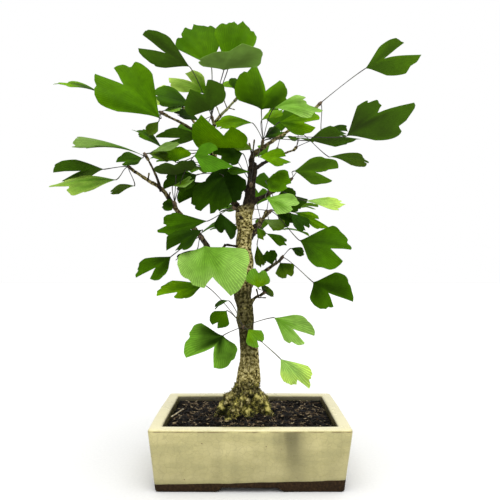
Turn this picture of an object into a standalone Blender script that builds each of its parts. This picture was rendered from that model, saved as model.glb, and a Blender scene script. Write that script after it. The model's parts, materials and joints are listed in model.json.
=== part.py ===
"""A ginkgo bonsai in a glazed rectangular pot, as separate pieces at their real size.

The tree's wood is one grown piece: trunk, surface roots, branches and the short spurs that carry the leaves.
Each spur holds one bunch of fan leaves, joined at its bud. The wood stands in the soil, the soil in the pot.
Every size below is in millimetres and becomes metres where a mesh is made.
"""

import math
import random

import bmesh
import bpy
from mathutils import Matrix, Vector, noise

MM = 0.001
GAP = 0.35  # clearance between pieces that touch
SOCKET_GAP = 1.0  # how much wider the soil's hollow is than the wood standing in it

# The pot: the rim is its largest outline, and each wall leans in towards the foot.
POT_WIDTH = 204.0
POT_DEPTH = 150.0
POT_HEIGHT = 63.0
WALL = 13.0
WALL_LEAN = 7.5
SIDE_BOW = 1.0
CORNER_CUT = 0.017  # share of each side that its rounded corner takes off at either end
RIM_ROUND = 2.2
FOOT_HEIGHT = 5.0
FLOOR_TOP = 14.0
FOOT_GAP_FRONT = 55.0
FOOT_GAP_SIDE = 44.0
FOOT_GAP_SLOPE = 7.0
FOOT_WALL = 13.0
DRAIN_RADIUS = 9.0
DRAIN_SPACING = 84.0
DRAIN_MESH_SIDE = 34.0
DRAIN_MESH_THICK = 1.0

# The soil sinks below the rim at the walls and rises round the trunk.
SOIL_EDGE = 56.5
SOIL_MOUND = 7.0
MOUND_RADIUS = 46.0
SOIL_ROUGH = 1.3

# Leaves: a blade of even thickness on a round stalk.
BLADE_THICK = 0.7
STALK_RADIUS = 0.6
BLADE_ROWS = (0.5, 1)
BIG_BLADE_ROWS = (0.28, 0.66, 1)
SMALL_LEAF = 33.0
BIG_LEAF = 48.0
LEAST_SPREAD = math.radians(22)
MOST_SPREAD = math.radians(84)
BUD_RADIUS = 2.1
BUD_LENGTH = 4.0
SPUR_RADIUS = 1.9

# The wood, limb by limb: (x, y, z, radius) along each limb's middle.
LIMBS = {
    "trunk": [
        (-5, 0, 34, 13), (-5, 0, 48, 17), (-6, 0, 60, 20), (-5.5, 0, 72, 17), (-3, 0, 83, 13.9),
        (-2, 0, 95, 13.6), (-1, 0, 108, 12.2), (0, 0, 122, 10.4), (-2.5, 0, 140, 9.2), (-5, 0, 160, 9.2),
        (-6.5, 0, 180, 9.4), (-8, 0, 197, 10), (-6.5, 0, 212, 9), (-5.5, 0, 230, 9.4), (-7, 0, 246, 8.8),
        (-6, 0, 262, 8.5), (-7, 0, 276, 9.6), (-8, 0, 285, 8.8), (-8, 1, 291, 5.5),
    ],
    "leader": [(-5, 0, 270, 7.5), (-1, 0, 294, 6.4), (1.5, 0, 318, 5.6), (4, 0, 341, 4.4)],
    "right_shoot": [
        (2, 1, 328, 3.4), (2, 0, 345, 3.2), (6, -3, 351, 3), (13, -6, 355, 2.7), (22, -9, 361, 2.1),
        (43, -13, 374, 1.7), (60, -14, 389, 1.5), (74, -14, 400, 1.2),
    ],
    "left_leader": [
        (-6, 4, 278, 4.6), (-20, 12, 299, 3.8), (-33, 13, 322, 3.3), (-40, 9, 346, 2.8), (-42, 5, 366, 2.5),
        (-41, 2, 384, 2.1), (-33, -1, 395, 1.7), (-25, -4, 402, 1.4), (-17, -6, 410, 1.1),
    ],
    "left_twig": [(-41, 6, 362, 2.2), (-55, -4, 371, 1.8), (-72, -18, 379, 1.5), (-90, -32, 385, 1.2)],
    "low_left_upshoot": [(-94, -38.5, 302, 1.8), (-99, -45, 319, 1.3), (-106, -50, 334, 1.0)],
    "left_fork": [(-53, -2, 370, 1.6), (-64, 4, 388, 1.4), (-76, 6, 403, 1.1)],
    "low_left_branch": [
        (-10, -3, 192, 4.4), (-24, -15, 209, 3.5), (-40, -26, 234, 3.1), (-54, -32, 256, 2.8),
        (-76, -36, 280, 2.5), (-92, -38, 303, 2.3), (-107, -40, 313, 1.9), (-122, -41, 323, 1.6),
    ],
    "right_twig": [(0, -3, 264, 2.8), (10, -10, 271, 2.1), (18, -15, 279, 1.5)],
    "small_right_twig": [(0, -4, 182, 2.2), (6, -8, 188, 1.5), (12, -9, 191, 1)],
    "low_right_branch": [(-2, 4, 200, 3), (14, 10, 215, 2.2), (34, 12, 229, 1.6)],
    "mid_right_branch": [(2, 2, 296, 3), (17, 10, 304, 2.2), (30, 14, 311, 1.8), (43, 18, 321, 1.3)],
    "low_back_branch": [(-5, 4, 246, 3.6), (2, 28, 258, 2.8), (12, 54, 274, 2.2), (20, 80, 292, 1.5)],
    "left_back_branch": [(0, 2, 308, 3.2), (-16, 28, 320, 2.5), (-38, 52, 336, 2), (-58, 70, 352, 1.4)],
    "right_back_branch": [(3, 2, 332, 2.6), (18, 24, 346, 2), (36, 46, 359, 1.5), (56, 64, 370, 1.1)],
    "root_left": [(-8, -3, 84, 8), (-21, -7, 76, 7.5), (-28, -9, 67, 6.5), (-33, -12, 55, 5), (-38, -14, 44, 2.5)],
    "root_front_left": [(-8, -6, 76, 8.5), (-16, -17, 66, 7.5), (-23, -27, 55, 5.5), (-30, -36, 45, 3)],
    "root_front": [(-3, -6, 72, 8), (-2, -16, 62, 6.5), (2, -26, 52, 4.5), (6, -34, 44, 2.5)],
    "root_right": [(2, -4, 83, 8), (13, -9, 73, 6.5), (19, -14, 61, 5.5), (26, -19, 48, 2.5)],
    "root_back_right": [(2, 6, 82, 8), (13, 15, 69, 7), (21, 24, 57, 5), (30, 33, 46, 2.5)],
    "root_back_left": [(-8, 6, 82, 8), (-19, 15, 70, 7), (-29, 24, 58, 5), (-38, 32, 46, 2.5)],
}
LIMB_SIDES = {"trunk": 12, "leader": 10}
ROOT_SIDES = 6
BRANCH_SIDES = 6
CURVE_STEPS = {"right_shoot": 2, "left_leader": 2, "low_left_branch": 2}

# Spurs: (foot inside the wood, tip). The tip carries the bunch's bud.
SPURS = {
    "trunk_front": ((-6, -5, 153), (-7, -14, 156)),
    "small_right_twig": ((11, -9, 190), (15, -10, 193)),
    "low_right_tip": ((33, 12, 228), (36, 7, 232)),
    "low_left_front": ((-50, -31, 250), (-52, -38, 253)),
    "low_left_middle": ((-78, -36, 283), (-79, -41, 288)),
    "low_left_fork": ((-105.5, -49.5, 333), (-108, -51, 337)),
    "low_left_tip": ((-121, -41, 322), (-126, -43, 326)),
    "left_low": ((-34, 13, 324), (-40, 8, 328)),
    "left_middle": ((-41, 8, 350), (-47, 4, 353)),
    "left_twig_tip": ((-89, -31, 385), (-94, -34, 387)),
    "left_fork_tip": ((-75, 6, 402), (-78, 6, 407)),
    "left_high": ((-41, 2, 384), (-43, 0, 391)),
    "left_shoot_tip": ((-18, -6, 409), (-14, -7, 413)),
    "top_right": ((13, -6, 355), (14, -9, 361)),
    "right_shoot_middle": ((44, -13, 375), (48, -15, 375)),
    "right_shoot_tip": ((73, -14, 399), (77, -14, 403)),
    "mid_right_tip": ((42, 18, 320), (47, 19, 324)),
    "mid_right_inner": ((20, 11, 306), (22, 6, 310)),
    "right_twig_tip": ((17, -14, 278), (21, -17, 282)),
    "right_twig_foot": ((7, -8, 269), (10, -13, 268)),
    "leader_front": ((1, -2, 312), (1, -9, 314)),
    "trunk_shoulder": ((-11, -4, 284), (-17, -11, 287)),
    "low_back_middle": ((10, 50, 272), (12, 51, 279)),
    "low_back_tip": ((19, 79, 291), (21, 84, 294)),
    "left_back_middle": ((-34, 48, 333), (-36, 46, 340)),
    "left_back_tip": ((-57, 69, 351), (-60, 73, 354)),
    "right_back_middle": ((35, 45, 358), (34, 43, 364)),
    "right_back_tip": ((55, 63, 369), (58, 67, 373)),
}

# Leaf places are read off the front view: x and z as they look in the plane of the trunk to an eye
# this far in front of it and this high, and y as the depth judged for them.
SIGHT_DISTANCE = 581.0
SIGHT_HEIGHT = 222.0

# Leaves of each spur: where the blade starts, the far end of its left lobe and of its right lobe as
# its upper face is looked at, and how deep the cleft between them runs as a share of the length.
LEAVES = {
    "trunk_front": [
        ((-30, -32, 145), (-20, -46, 110), (-74, -42, 138), 0.6),
        ((34, -46, 119), (69, -58, 93), (45, -60, 88), 0.25),
        ((27, -28, 165), (72, -36, 155), (56, -42, 135), 0.45),
        ((-2, -24, 152), (16, -32, 141), (4, -32, 131), 0.25),
        ((-26, -18, 173), (-32, -26, 153), (-46, -24, 162), 0.25),
        ((-24, -22, 184), (-38, -30, 175), (-38, -16, 179), 0.15),
        ((-52, -34, 202), (-80, -50, 184), (-104, -40, 194), 0.3),
    ],
    "small_right_twig": [
        ((12, -14, 206), (27, -24, 191), (22, -8, 189), 0.1),
        ((9, -24, 198), (0, -28, 218), (20, -24, 215), 0.2),
    ],
    "low_right_tip": [
        ((25, -2, 224), (16, -6, 238), (27, -6, 241), 0.1),
        ((34, 0, 227), (50, -8, 216), (36, -8, 209), 0.15),
        ((46, 9, 243), (61, 6, 240), (59, -2, 234), 0.1),
        ((71, -8, 205), (116, -14, 196), (85, -22, 173), 0.5),
    ],
    "low_left_front": [
        ((-52, -54, 246), (-7, -70, 203), (-72, -76, 204), 0.3),
        ((-54, -56, 264), (-80, -70, 239), (-97, -64, 249), 0.35),
        ((-89, -34, 234), (-106, -44, 206), (-128, -40, 216), 0.45),
        ((-60, -40, 241), (-82, -50, 231), (-81, -34, 234), 0.1),
    ],
    "low_left_middle": [
        ((-87, -46, 292), (-97, -52, 286), (-97, -44, 296), 0.1),
        ((-84, -44, 326), (-70, -64, 340), (-107, -66, 336), 0.35),
        ((-88, -47, 314), (-66, -54, 319), (-68, -44, 325), 0.2),
        ((-64, -52, 348), (-40, -50, 360), (-27, -66, 334), 0.55),
    ],
    "low_left_fork": [
        ((-120, -62, 348), (-193, -113, 358), (-200, -80, 364), 0.05),
        ((-122, -48, 346), (-141, -60, 336), (-150, -46, 346), 0.25),
        ((-116, -44, 351), (-95, -36, 351), (-95, -52, 342), 0.1),
        ((-112, -50, 352), (-84, -42, 364), (-82, -58, 358), 0.15),
    ],
    "low_left_tip": [
        ((-166, -58, 333), (-222, -70, 334), (-206, -50, 317), 0.5),
        ((-152, -72, 321), (-204, -94, 304), (-219, -66, 316), 0.2),
        ((-131, -52, 314), (-155, -60, 303), (-157, -48, 309), 0.1),
    ],
    "left_low": [
        ((-30, -22, 325), (-36, -38, 284), (-66, -32, 294), 0.2),
        ((-22, -8, 318), (-12, -16, 297), (-32, -16, 293), 0.25),
        ((-60, -4, 338), (-76, -10, 331), (-74, 4, 340), 0.1),
        ((-34, -4, 340), (-12, -14, 302), (-44, -16, 300), 0.15),
        ((-50, 4, 318), (-62, -2, 292), (-84, 2, 304), 0.3),
        ((-60, -12, 327), (-77, -26, 307), (-98, -18, 318), 0.3),
    ],
    "left_middle": [
        ((-85, -34, 341), (-99, -24, 354), (-72, -22, 356), 0.2),
        ((-100, -30, 357), (-130, -42, 372), (-129, -26, 379), 0.1),
        ((-66, 4, 351), (-92, 0, 343), (-90, 14, 353), 0.15),
    ],
    "left_twig_tip": [
        ((-102, -50, 391), (-182, -60, 428), (-144, -46, 456), 0.36),
        ((-172, -52, 421), (-216, -72, 428), (-220, -50, 433), 0.2),
        ((-104, -40, 388), (-112, -46, 371), (-119, -38, 377), 0.1),
        ((-99, -24, 400), (-79, -16, 406), (-79, -28, 400), 0.1),
    ],
    "left_fork_tip": [
        ((-66, -18, 405), (-108, -26, 411), (-108, -8, 427), 0.3),
        ((-84, 16, 412), (-112, 30, 410), (-108, 38, 426), 0.3),
    ],
    "left_high": [
        ((-44, -20, 450), (-80, -14, 488), (-48, -6, 501), 0.12),
        ((-26, -34, 446), (-29, -28, 502), (2, -24, 496), 0.12),
        ((-30, -40, 447), (10, -72, 468), (-53, -70, 463), 0.2),
        ((-44, -28, 400), (-26, -38, 430), (-76, -44, 407), 0.45),
        ((-69, -48, 451), (-119, -62, 492), (-124, -44, 463), 0.5),
        ((-48, 6, 419), (-94, 10, 434), (-68, 16, 445), 0.5),
        ((-53, -19, 371), (-101, -40, 372), (-98, -12, 358), 0.5),
        ((-57, -4, 388), (-82, -11, 393), (-83, 0, 401), 0.2),
    ],
    "left_shoot_tip": [
        ((-13, -6, 419), (-16, 4, 437), (3, 4, 419), 0.3),
        ((-12, 14, 424), (-30, 36, 432), (0, 40, 436), 0.35),
    ],
    "top_right": [
        ((13, -22, 401), (-8, -16, 443), (41, -20, 425), 0.5),
        ((110, -38, 371), (182, -28, 389), (146, -52, 410), 0.35),
        ((66, -20, 366), (120, -8, 364), (100, -30, 379), 0.3),
        ((10, -26, 347), (40, -30, 353), (43, -40, 339), 0.35),
        ((33, -26, 387), (77, -32, 394), (68, -38, 373), 0.35),
        ((13, -4, 389), (35, 4, 402), (38, -10, 396), 0.1),
        ((3, -14, 386), (-31, -24, 377), (-38, -12, 387), 0.1),
        ((16, 10, 369), (32, 18, 380), (43, 8, 372), 0.2),
        ((27, -42, 403), (64, -44, 412), (78, -58, 397), 0.1),
    ],
    "right_shoot_middle": [
        ((90, 6, 347), (128, 18, 335), (134, -4, 343), 0.15),
        ((52, 14, 388), (58, 40, 408), (76, 34, 396), 0.35),
    ],
    "right_shoot_tip": [
        ((132, 4, 449), (190, 22, 455), (174, -6, 482), 0.6),
        ((82, 14, 374), (104, 36, 371), (112, 14, 380), 0.3),
    ],
    "mid_right_tip": [
        ((50, -30, 331), (88, -24, 318), (96, -44, 343), 0.5),
        ((56, 30, 333), (88, 50, 330), (92, 28, 338), 0.4),
    ],
    "mid_right_inner": [
        ((18, -22, 320), (46, -26, 325), (37, -36, 307), 0.15),
        ((28, -4, 299), (50, -6, 310), (62, -14, 292), 0.2),
        ((18, -40, 300), (56, -56, 297), (44, -64, 283), 0.12),
        ((63, -46, 297), (102, -44, 297), (104, -58, 288), 0.1),
    ],
    "right_twig_tip": [
        ((56, -46, 252), (112, -52, 250), (94, -64, 218), 0.35),
        ((46, -24, 283), (68, -32, 269), (58, -36, 262), 0.2),
        ((50, 8, 284), (78, 4, 279), (84, -4, 266), 0.3),
        ((30, 2, 284), (50, -6, 276), (42, 0, 267), 0.1),
    ],
    "right_twig_foot": [
        ((16, -24, 275), (40, -30, 270), (36, -38, 262), 0.1),
        ((18, -12, 260), (42, -14, 252), (38, -22, 246), 0.1),
        ((8, -20, 266), (18, -24, 258), (13, -26, 253), 0.1),
        ((8, 2, 247), (17, 2, 225), (9, 8, 223), 0.1),
    ],
    "leader_front": [
        ((-23, -26, 357), (-69, -44, 380), (-3, -48, 375), 0.5),
        ((-8, -24, 351), (-28, -36, 339), (-42, -28, 357), 0.2),
        ((3, -18, 355), (-20, -24, 357), (-18, -14, 366), 0.1),
        ((0, -18, 330), (-22, -24, 327), (-24, -14, 333), 0.1),
    ],
    "trunk_shoulder": [
        ((-48, -42, 274), (-100, -57, 258), (-98, -50, 276), 0.12),
        ((-34, -14, 284), (-18, -24, 256), (-36, -24, 261), 0.25),
    ],
    "low_back_middle": [
        ((-18, 56, 270), (-44, 58, 262), (-50, 84, 268), 0.4),
        ((34, 52, 264), (62, 74, 260), (66, 48, 258), 0.45),
        ((8, 58, 292), (0, 76, 314), (20, 80, 308), 0.4),
    ],
    "low_back_tip": [
        ((21, 96, 276), (10, 116, 266), (34, 114, 264), 0.5),
        ((-4, 92, 288), (-32, 88, 284), (-28, 108, 290), 0.4),
        ((44, 90, 290), (70, 108, 288), (76, 84, 292), 0.45),
        ((22, 88, 308), (10, 104, 326), (34, 104, 326), 0.35),
    ],
    "left_back_middle": [
        ((-62, 44, 326), (-94, 40, 322), (-92, 64, 328), 0.45),
        ((-30, 56, 350), (-46, 76, 366), (-16, 78, 364), 0.4),
    ],
    "left_back_tip": [
        ((-80, 76, 342), (-106, 72, 340), (-108, 96, 348), 0.5),
        ((-58, 90, 336), (-72, 113, 332), (-46, 112, 328), 0.45),
        ((-58, 78, 364), (-82, 92, 380), (-56, 100, 386), 0.35),
    ],
    "right_back_middle": [
        ((36, 42, 376), (24, 54, 402), (50, 50, 404), 0.4),
        ((20, 64, 350), (4, 84, 350), (14, 94, 362), 0.45),
    ],
    "right_back_tip": [
        ((76, 70, 368), (102, 90, 367), (108, 66, 373), 0.45),
        ((56, 90, 368), (46, 113, 367), (70, 112, 364), 0.5),
        ((56, 72, 382), (46, 88, 402), (70, 86, 404), 0.35),
    ],
}

# Colours and finish of each material: base colour, roughness.
FINISHES = {
    "glazed_clay": ((0.62, 0.58, 0.40), 0.3),
    "drain_net": ((0.05, 0.12, 0.06), 0.6),
    "soil": ((0.045, 0.03, 0.02), 0.95),
    "bark": ((0.22, 0.18, 0.09), 0.9),
    "leaf": ((0.10, 0.27, 0.02), 0.5),
}


def clear_scene():
    for old in list(bpy.data.objects):
        bpy.data.objects.remove(old)


def make_materials():
    made = {}
    for name, (colour, roughness) in FINISHES.items():
        material = bpy.data.materials.new(name)
        material.use_nodes = True
        shader = material.node_tree.nodes["Principled BSDF"]
        shader.inputs["Base Color"].default_value = (*colour, 1)
        shader.inputs["Roughness"].default_value = roughness
        shader.inputs["Metallic"].default_value = 0
        made[name] = material
    return made


def new_collection(name):
    made = bpy.data.collections.new(name)
    bpy.context.scene.collection.children.link(made)
    return made


def new_object(name, mesh, collection):
    made = bpy.data.objects.new(name, mesh)
    collection.objects.link(made)
    return made


def mesh_of(builder):
    """Turns a bmesh in millimetres into a mesh in metres."""
    builder.transform(Matrix.Scale(MM, 4))
    mesh = bpy.data.meshes.new("shape")
    builder.to_mesh(mesh)
    builder.free()
    return mesh


def evaluated_mesh(thing):
    graph = bpy.context.evaluated_depsgraph_get()
    return bpy.data.meshes.new_from_object(thing.evaluated_get(graph), depsgraph=graph)


def settle(thing):
    """Applies every modifier of an object."""
    mesh = evaluated_mesh(thing)
    thing.modifiers.clear()
    thing.data = mesh


def combine(thing, others, operation, solver="EXACT"):
    """Joins the objects of a collection to a thing, or cuts them from it, and removes them."""
    step = thing.modifiers.new(operation.lower(), "BOOLEAN")
    step.operation = operation
    step.operand_type = "COLLECTION"
    step.collection = others
    step.solver = solver
    settle(thing)
    for used in list(others.objects):
        bpy.data.objects.remove(used)


def finish_piece(name, thing, material, smooth_angle=40):
    thing.name = name
    thing.data.name = name
    thing.data.materials.clear()
    thing.data.materials.append(material)
    thing.data.shade_smooth()
    thing.data.set_sharp_from_angle(angle=math.radians(smooth_angle))


def box(name, low, high, collection):
    builder = bmesh.new()
    bmesh.ops.create_cube(builder, size=1)
    middle = (Vector(low) + Vector(high)) / 2
    size = Vector(high) - Vector(low)
    builder.transform(Matrix.Translation(middle) @ Matrix.Diagonal((*size, 1)))
    return new_object(name, mesh_of(builder), collection)


def turned_along(start, end, foot_radius, tip_radius, sides, name, collection):
    """A straight tapered peg between two points."""
    start, end = Vector(start), Vector(end)
    builder = bmesh.new()
    length = (end - start).length
    bmesh.ops.create_cone(
        builder, cap_ends=True, segments=sides, radius1=foot_radius, radius2=tip_radius, depth=length
    )
    turn = (end - start).to_track_quat("Z", "Y").to_matrix().to_4x4()
    builder.transform(Matrix.Translation((start + end) / 2) @ turn)
    return new_object(name, mesh_of(builder), collection)


def tube(name, points, radii, sides, collection, steps=0):
    """A closed round tube through points, as a mesh. With steps it follows a smooth curve between them."""
    line = bpy.data.curves.new(name, "CURVE")
    line.dimensions = "3D"
    line.bevel_depth = MM
    line.bevel_resolution = (sides - 4) // 2
    line.use_fill_caps = True
    if steps:
        spline = line.splines.new("BEZIER")
        spline.bezier_points.add(len(points) - 1)
        line.resolution_u = steps
        for knot, point, radius in zip(spline.bezier_points, points, radii):
            knot.co = Vector(point) * MM
            knot.handle_left_type = knot.handle_right_type = "AUTO"
            knot.radius = radius
    else:
        spline = line.splines.new("POLY")
        spline.points.add(len(points) - 1)
        for knot, point, radius in zip(spline.points, points, radii):
            knot.co = (*(Vector(point) * MM), 1)
            knot.radius = radius
    guide = new_object(name, line, collection)
    mesh = evaluated_mesh(guide)
    bpy.data.objects.remove(guide)
    builder = bmesh.new()
    builder.from_mesh(mesh)
    bmesh.ops.remove_doubles(builder, verts=builder.verts, dist=0.01 * MM)
    builder.to_mesh(mesh)
    builder.free()
    return new_object(name, mesh, collection)


def wall_lean_at(z):
    """How far each outer wall has leaned in at a height."""
    return WALL_LEAN * (POT_HEIGHT - z) / POT_HEIGHT


def pot_outline(z, inset):
    """Corners and bowed side middles of the pot's plan at a height, going round."""
    half_width = POT_WIDTH / 2 - wall_lean_at(z) - inset
    half_depth = POT_DEPTH / 2 - wall_lean_at(z) - inset
    bow = SIDE_BOW
    half_width -= bow
    half_depth -= bow
    points = []
    for start, end, out in (
        ((-1, -1), (1, -1), (0, -1)), ((1, -1), (1, 1), (1, 0)),
        ((1, 1), (-1, 1), (0, 1)), ((-1, 1), (-1, -1), (-1, 0)),
    ):
        for step in (CORNER_CUT, 0.27, 0.5, 0.73, 1 - CORNER_CUT):
            across = start[0] + (end[0] - start[0]) * step
            along = start[1] + (end[1] - start[1]) * step
            swell = bow * math.sin(math.pi * step)
            points.append((across * half_width + out[0] * swell, along * half_depth + out[1] * swell, z))
    return points


def pot_block(name, levels, collection):
    """A closed block whose outline follows the pot's plan at each (height, inset)."""
    builder = bmesh.new()
    rings = [[builder.verts.new(p) for p in pot_outline(z, inset)] for z, inset in levels]
    count = len(rings[0])
    for low, high in zip(rings, rings[1:]):
        for i in range(count):
            j = (i + 1) % count
            builder.faces.new((low[i], low[j], high[j], high[i]))
    builder.faces.new(reversed(rings[0]))
    builder.faces.new(rings[-1])
    return new_object(name, mesh_of(builder), collection)


def make_pot(parts, cutters, material):
    pot = pot_block(
        "pot", [(0, 1.5), (1.5, 0), (POT_HEIGHT - RIM_ROUND, 0), (POT_HEIGHT, RIM_ROUND)], parts
    )
    rim_inset = WALL - RIM_ROUND
    pot_block(
        "inside",
        [(FLOOR_TOP, WALL + 3), (FLOOR_TOP + 6, WALL), (POT_HEIGHT - RIM_ROUND, WALL),
         (POT_HEIGHT + 1, rim_inset - 1)],
        cutters,
    )
    box("under", (-POT_WIDTH / 2 + WALL_LEAN + FOOT_WALL, -POT_DEPTH / 2 + WALL_LEAN + FOOT_WALL, -5),
        (POT_WIDTH / 2 - WALL_LEAN - FOOT_WALL, POT_DEPTH / 2 - WALL_LEAN - FOOT_WALL, FOOT_HEIGHT), cutters)
    for name, gap, turn in (("foot_gap_front", FOOT_GAP_FRONT, 0), ("foot_gap_side", FOOT_GAP_SIDE, 90)):
        cut = box(name, (-gap / 2, -POT_WIDTH, -5), (gap / 2, POT_WIDTH, FOOT_HEIGHT), cutters)
        for vertex in cut.data.vertices:
            if vertex.co.z < 0:
                vertex.co.x *= 1 + 4 * FOOT_GAP_SLOPE / gap
        cut.data.transform(Matrix.Rotation(math.radians(turn), 4, "Z"))
    for side in (-1, 1):
        x = side * DRAIN_SPACING / 2
        turned_along((x, 0, -1), (x, 0, FLOOR_TOP + 2), DRAIN_RADIUS, DRAIN_RADIUS, 16, "drain", cutters)
    combine(pot, cutters, "DIFFERENCE")
    finish_piece("pot", pot, material, 35)


def make_drain_nets(parts, material):
    """Plastic net squares that keep the soil in over the two drain holes."""
    half = DRAIN_MESH_SIDE / 2
    for side, name in ((-1, "drain_net_left"), (1, "drain_net_right")):
        x = side * DRAIN_SPACING / 2
        low = FLOOR_TOP + GAP
        net = box(name, (x - half, -half, low), (x + half, half, low + DRAIN_MESH_THICK), parts)
        finish_piece(name, net, material)


def soil_height(x, y):
    """Height of the soil's surface: sunk at the walls, mounded at the trunk, and uneven."""
    from_trunk = math.hypot(x + 3, y)
    mound = SOIL_MOUND * math.exp(-((from_trunk / MOUND_RADIUS) ** 2) * 2)
    rough = SOIL_ROUGH * noise.noise(Vector((x / 16, y / 16, 0.3)))
    return SOIL_EDGE + mound + rough


def make_soil(parts, cutters, material):
    clear_of_wall = WALL + GAP + 0.1
    top = SOIL_EDGE + 20
    soil = pot_block(
        "soil",
        [(FLOOR_TOP + 2 * GAP + DRAIN_MESH_THICK, WALL + 3 + GAP + 0.3), (FLOOR_TOP + 7, clear_of_wall),
         (top, clear_of_wall)],
        parts,
    )
    # The lid is a bumpy sheet thick enough to take away all above the surface.
    columns, rows = 16, 12
    builder = bmesh.new()
    bmesh.ops.create_grid(builder, x_segments=columns, y_segments=rows, size=1)
    for vertex in builder.verts:
        x = vertex.co.x * (POT_WIDTH / 2 + 5)
        y = vertex.co.y * (POT_DEPTH / 2 + 5)
        vertex.co = (x, y, soil_height(x, y))
    sheet = list(builder.faces)
    bmesh.ops.triangulate(builder, faces=sheet)
    raised = bmesh.ops.extrude_face_region(builder, geom=builder.faces[:])["geom"]
    for item in raised:
        if isinstance(item, bmesh.types.BMVert):
            item.co.z = top + 10
    bmesh.ops.recalc_face_normals(builder, faces=builder.faces)
    new_object("above_soil", mesh_of(builder), cutters)
    combine(soil, cutters, "DIFFERENCE")
    for name in LIMBS:
        if name == "trunk" or name.startswith("root"):
            make_limb(name, cutters, SOCKET_GAP)
    combine(soil, cutters, "DIFFERENCE")
    keep_largest(soil)
    finish_piece("soil", soil, material, 30)


def keep_largest(thing):
    """Drops the loose crumbs that a cut leaves."""
    builder = bmesh.new()
    builder.from_mesh(thing.data)
    unseen = set(builder.verts)
    groups = []
    while unseen:
        stack = [unseen.pop()]
        group = list(stack)
        while stack:
            for edge in stack.pop().link_edges:
                for vertex in edge.verts:
                    if vertex in unseen:
                        unseen.remove(vertex)
                        stack.append(vertex)
                        group.append(vertex)
        groups.append(group)
    groups.sort(key=len)
    for group in groups[:-1]:
        bmesh.ops.delete(builder, geom=group, context="VERTS")
    builder.to_mesh(thing.data)
    builder.free()


def lump(mesh, amount, grain):
    """Pushes a limb's surface in and out, as old bark and scars do."""
    for vertex in mesh.vertices:
        place = vertex.co / MM / grain
        vertex.co += vertex.normal * noise.noise(place) * amount * MM


def make_limb(name, collection, swell=0.0):
    """One limb of the wood. A swell makes it thicker all round."""
    places = LIMBS[name]
    sides = LIMB_SIDES.get(name, ROOT_SIDES if name.startswith("root") else BRANCH_SIDES)
    points = [Vector(p[:3]) for p in places]
    points[0] += (points[0] - points[1]).normalized() * swell
    points[-1] += (points[-1] - points[-2]).normalized() * swell
    radii = [p[3] + swell for p in places]
    limb = tube(name, points, radii, sides, collection, CURVE_STEPS.get(name, 1))
    if name in ("trunk", "leader") or name.startswith("root"):
        lump(limb.data, 1.6, 13)
    return limb


def make_wood(parts, helpers, material):
    wood = make_limb("trunk", parts)
    for name in LIMBS:
        if name != "trunk":
            make_limb(name, helpers)
    for name, (foot, tip) in SPURS.items():
        turned_along(foot, tip, SPUR_RADIUS, SPUR_RADIUS * 0.95, 6, "spur_" + name, helpers)
    combine(wood, helpers, "UNION", "MANIFOLD")
    finish_piece("trunk_and_branches", wood, material, 60)


def true_place(seen):
    """A place read off the front view, at its depth: the further back it lies, the larger it is in truth."""
    x, y, z = seen
    growth = (SIGHT_DISTANCE + y) / SIGHT_DISTANCE
    return Vector((x * growth, y, SIGHT_HEIGHT + (z - SIGHT_HEIGHT) * growth))


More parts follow.
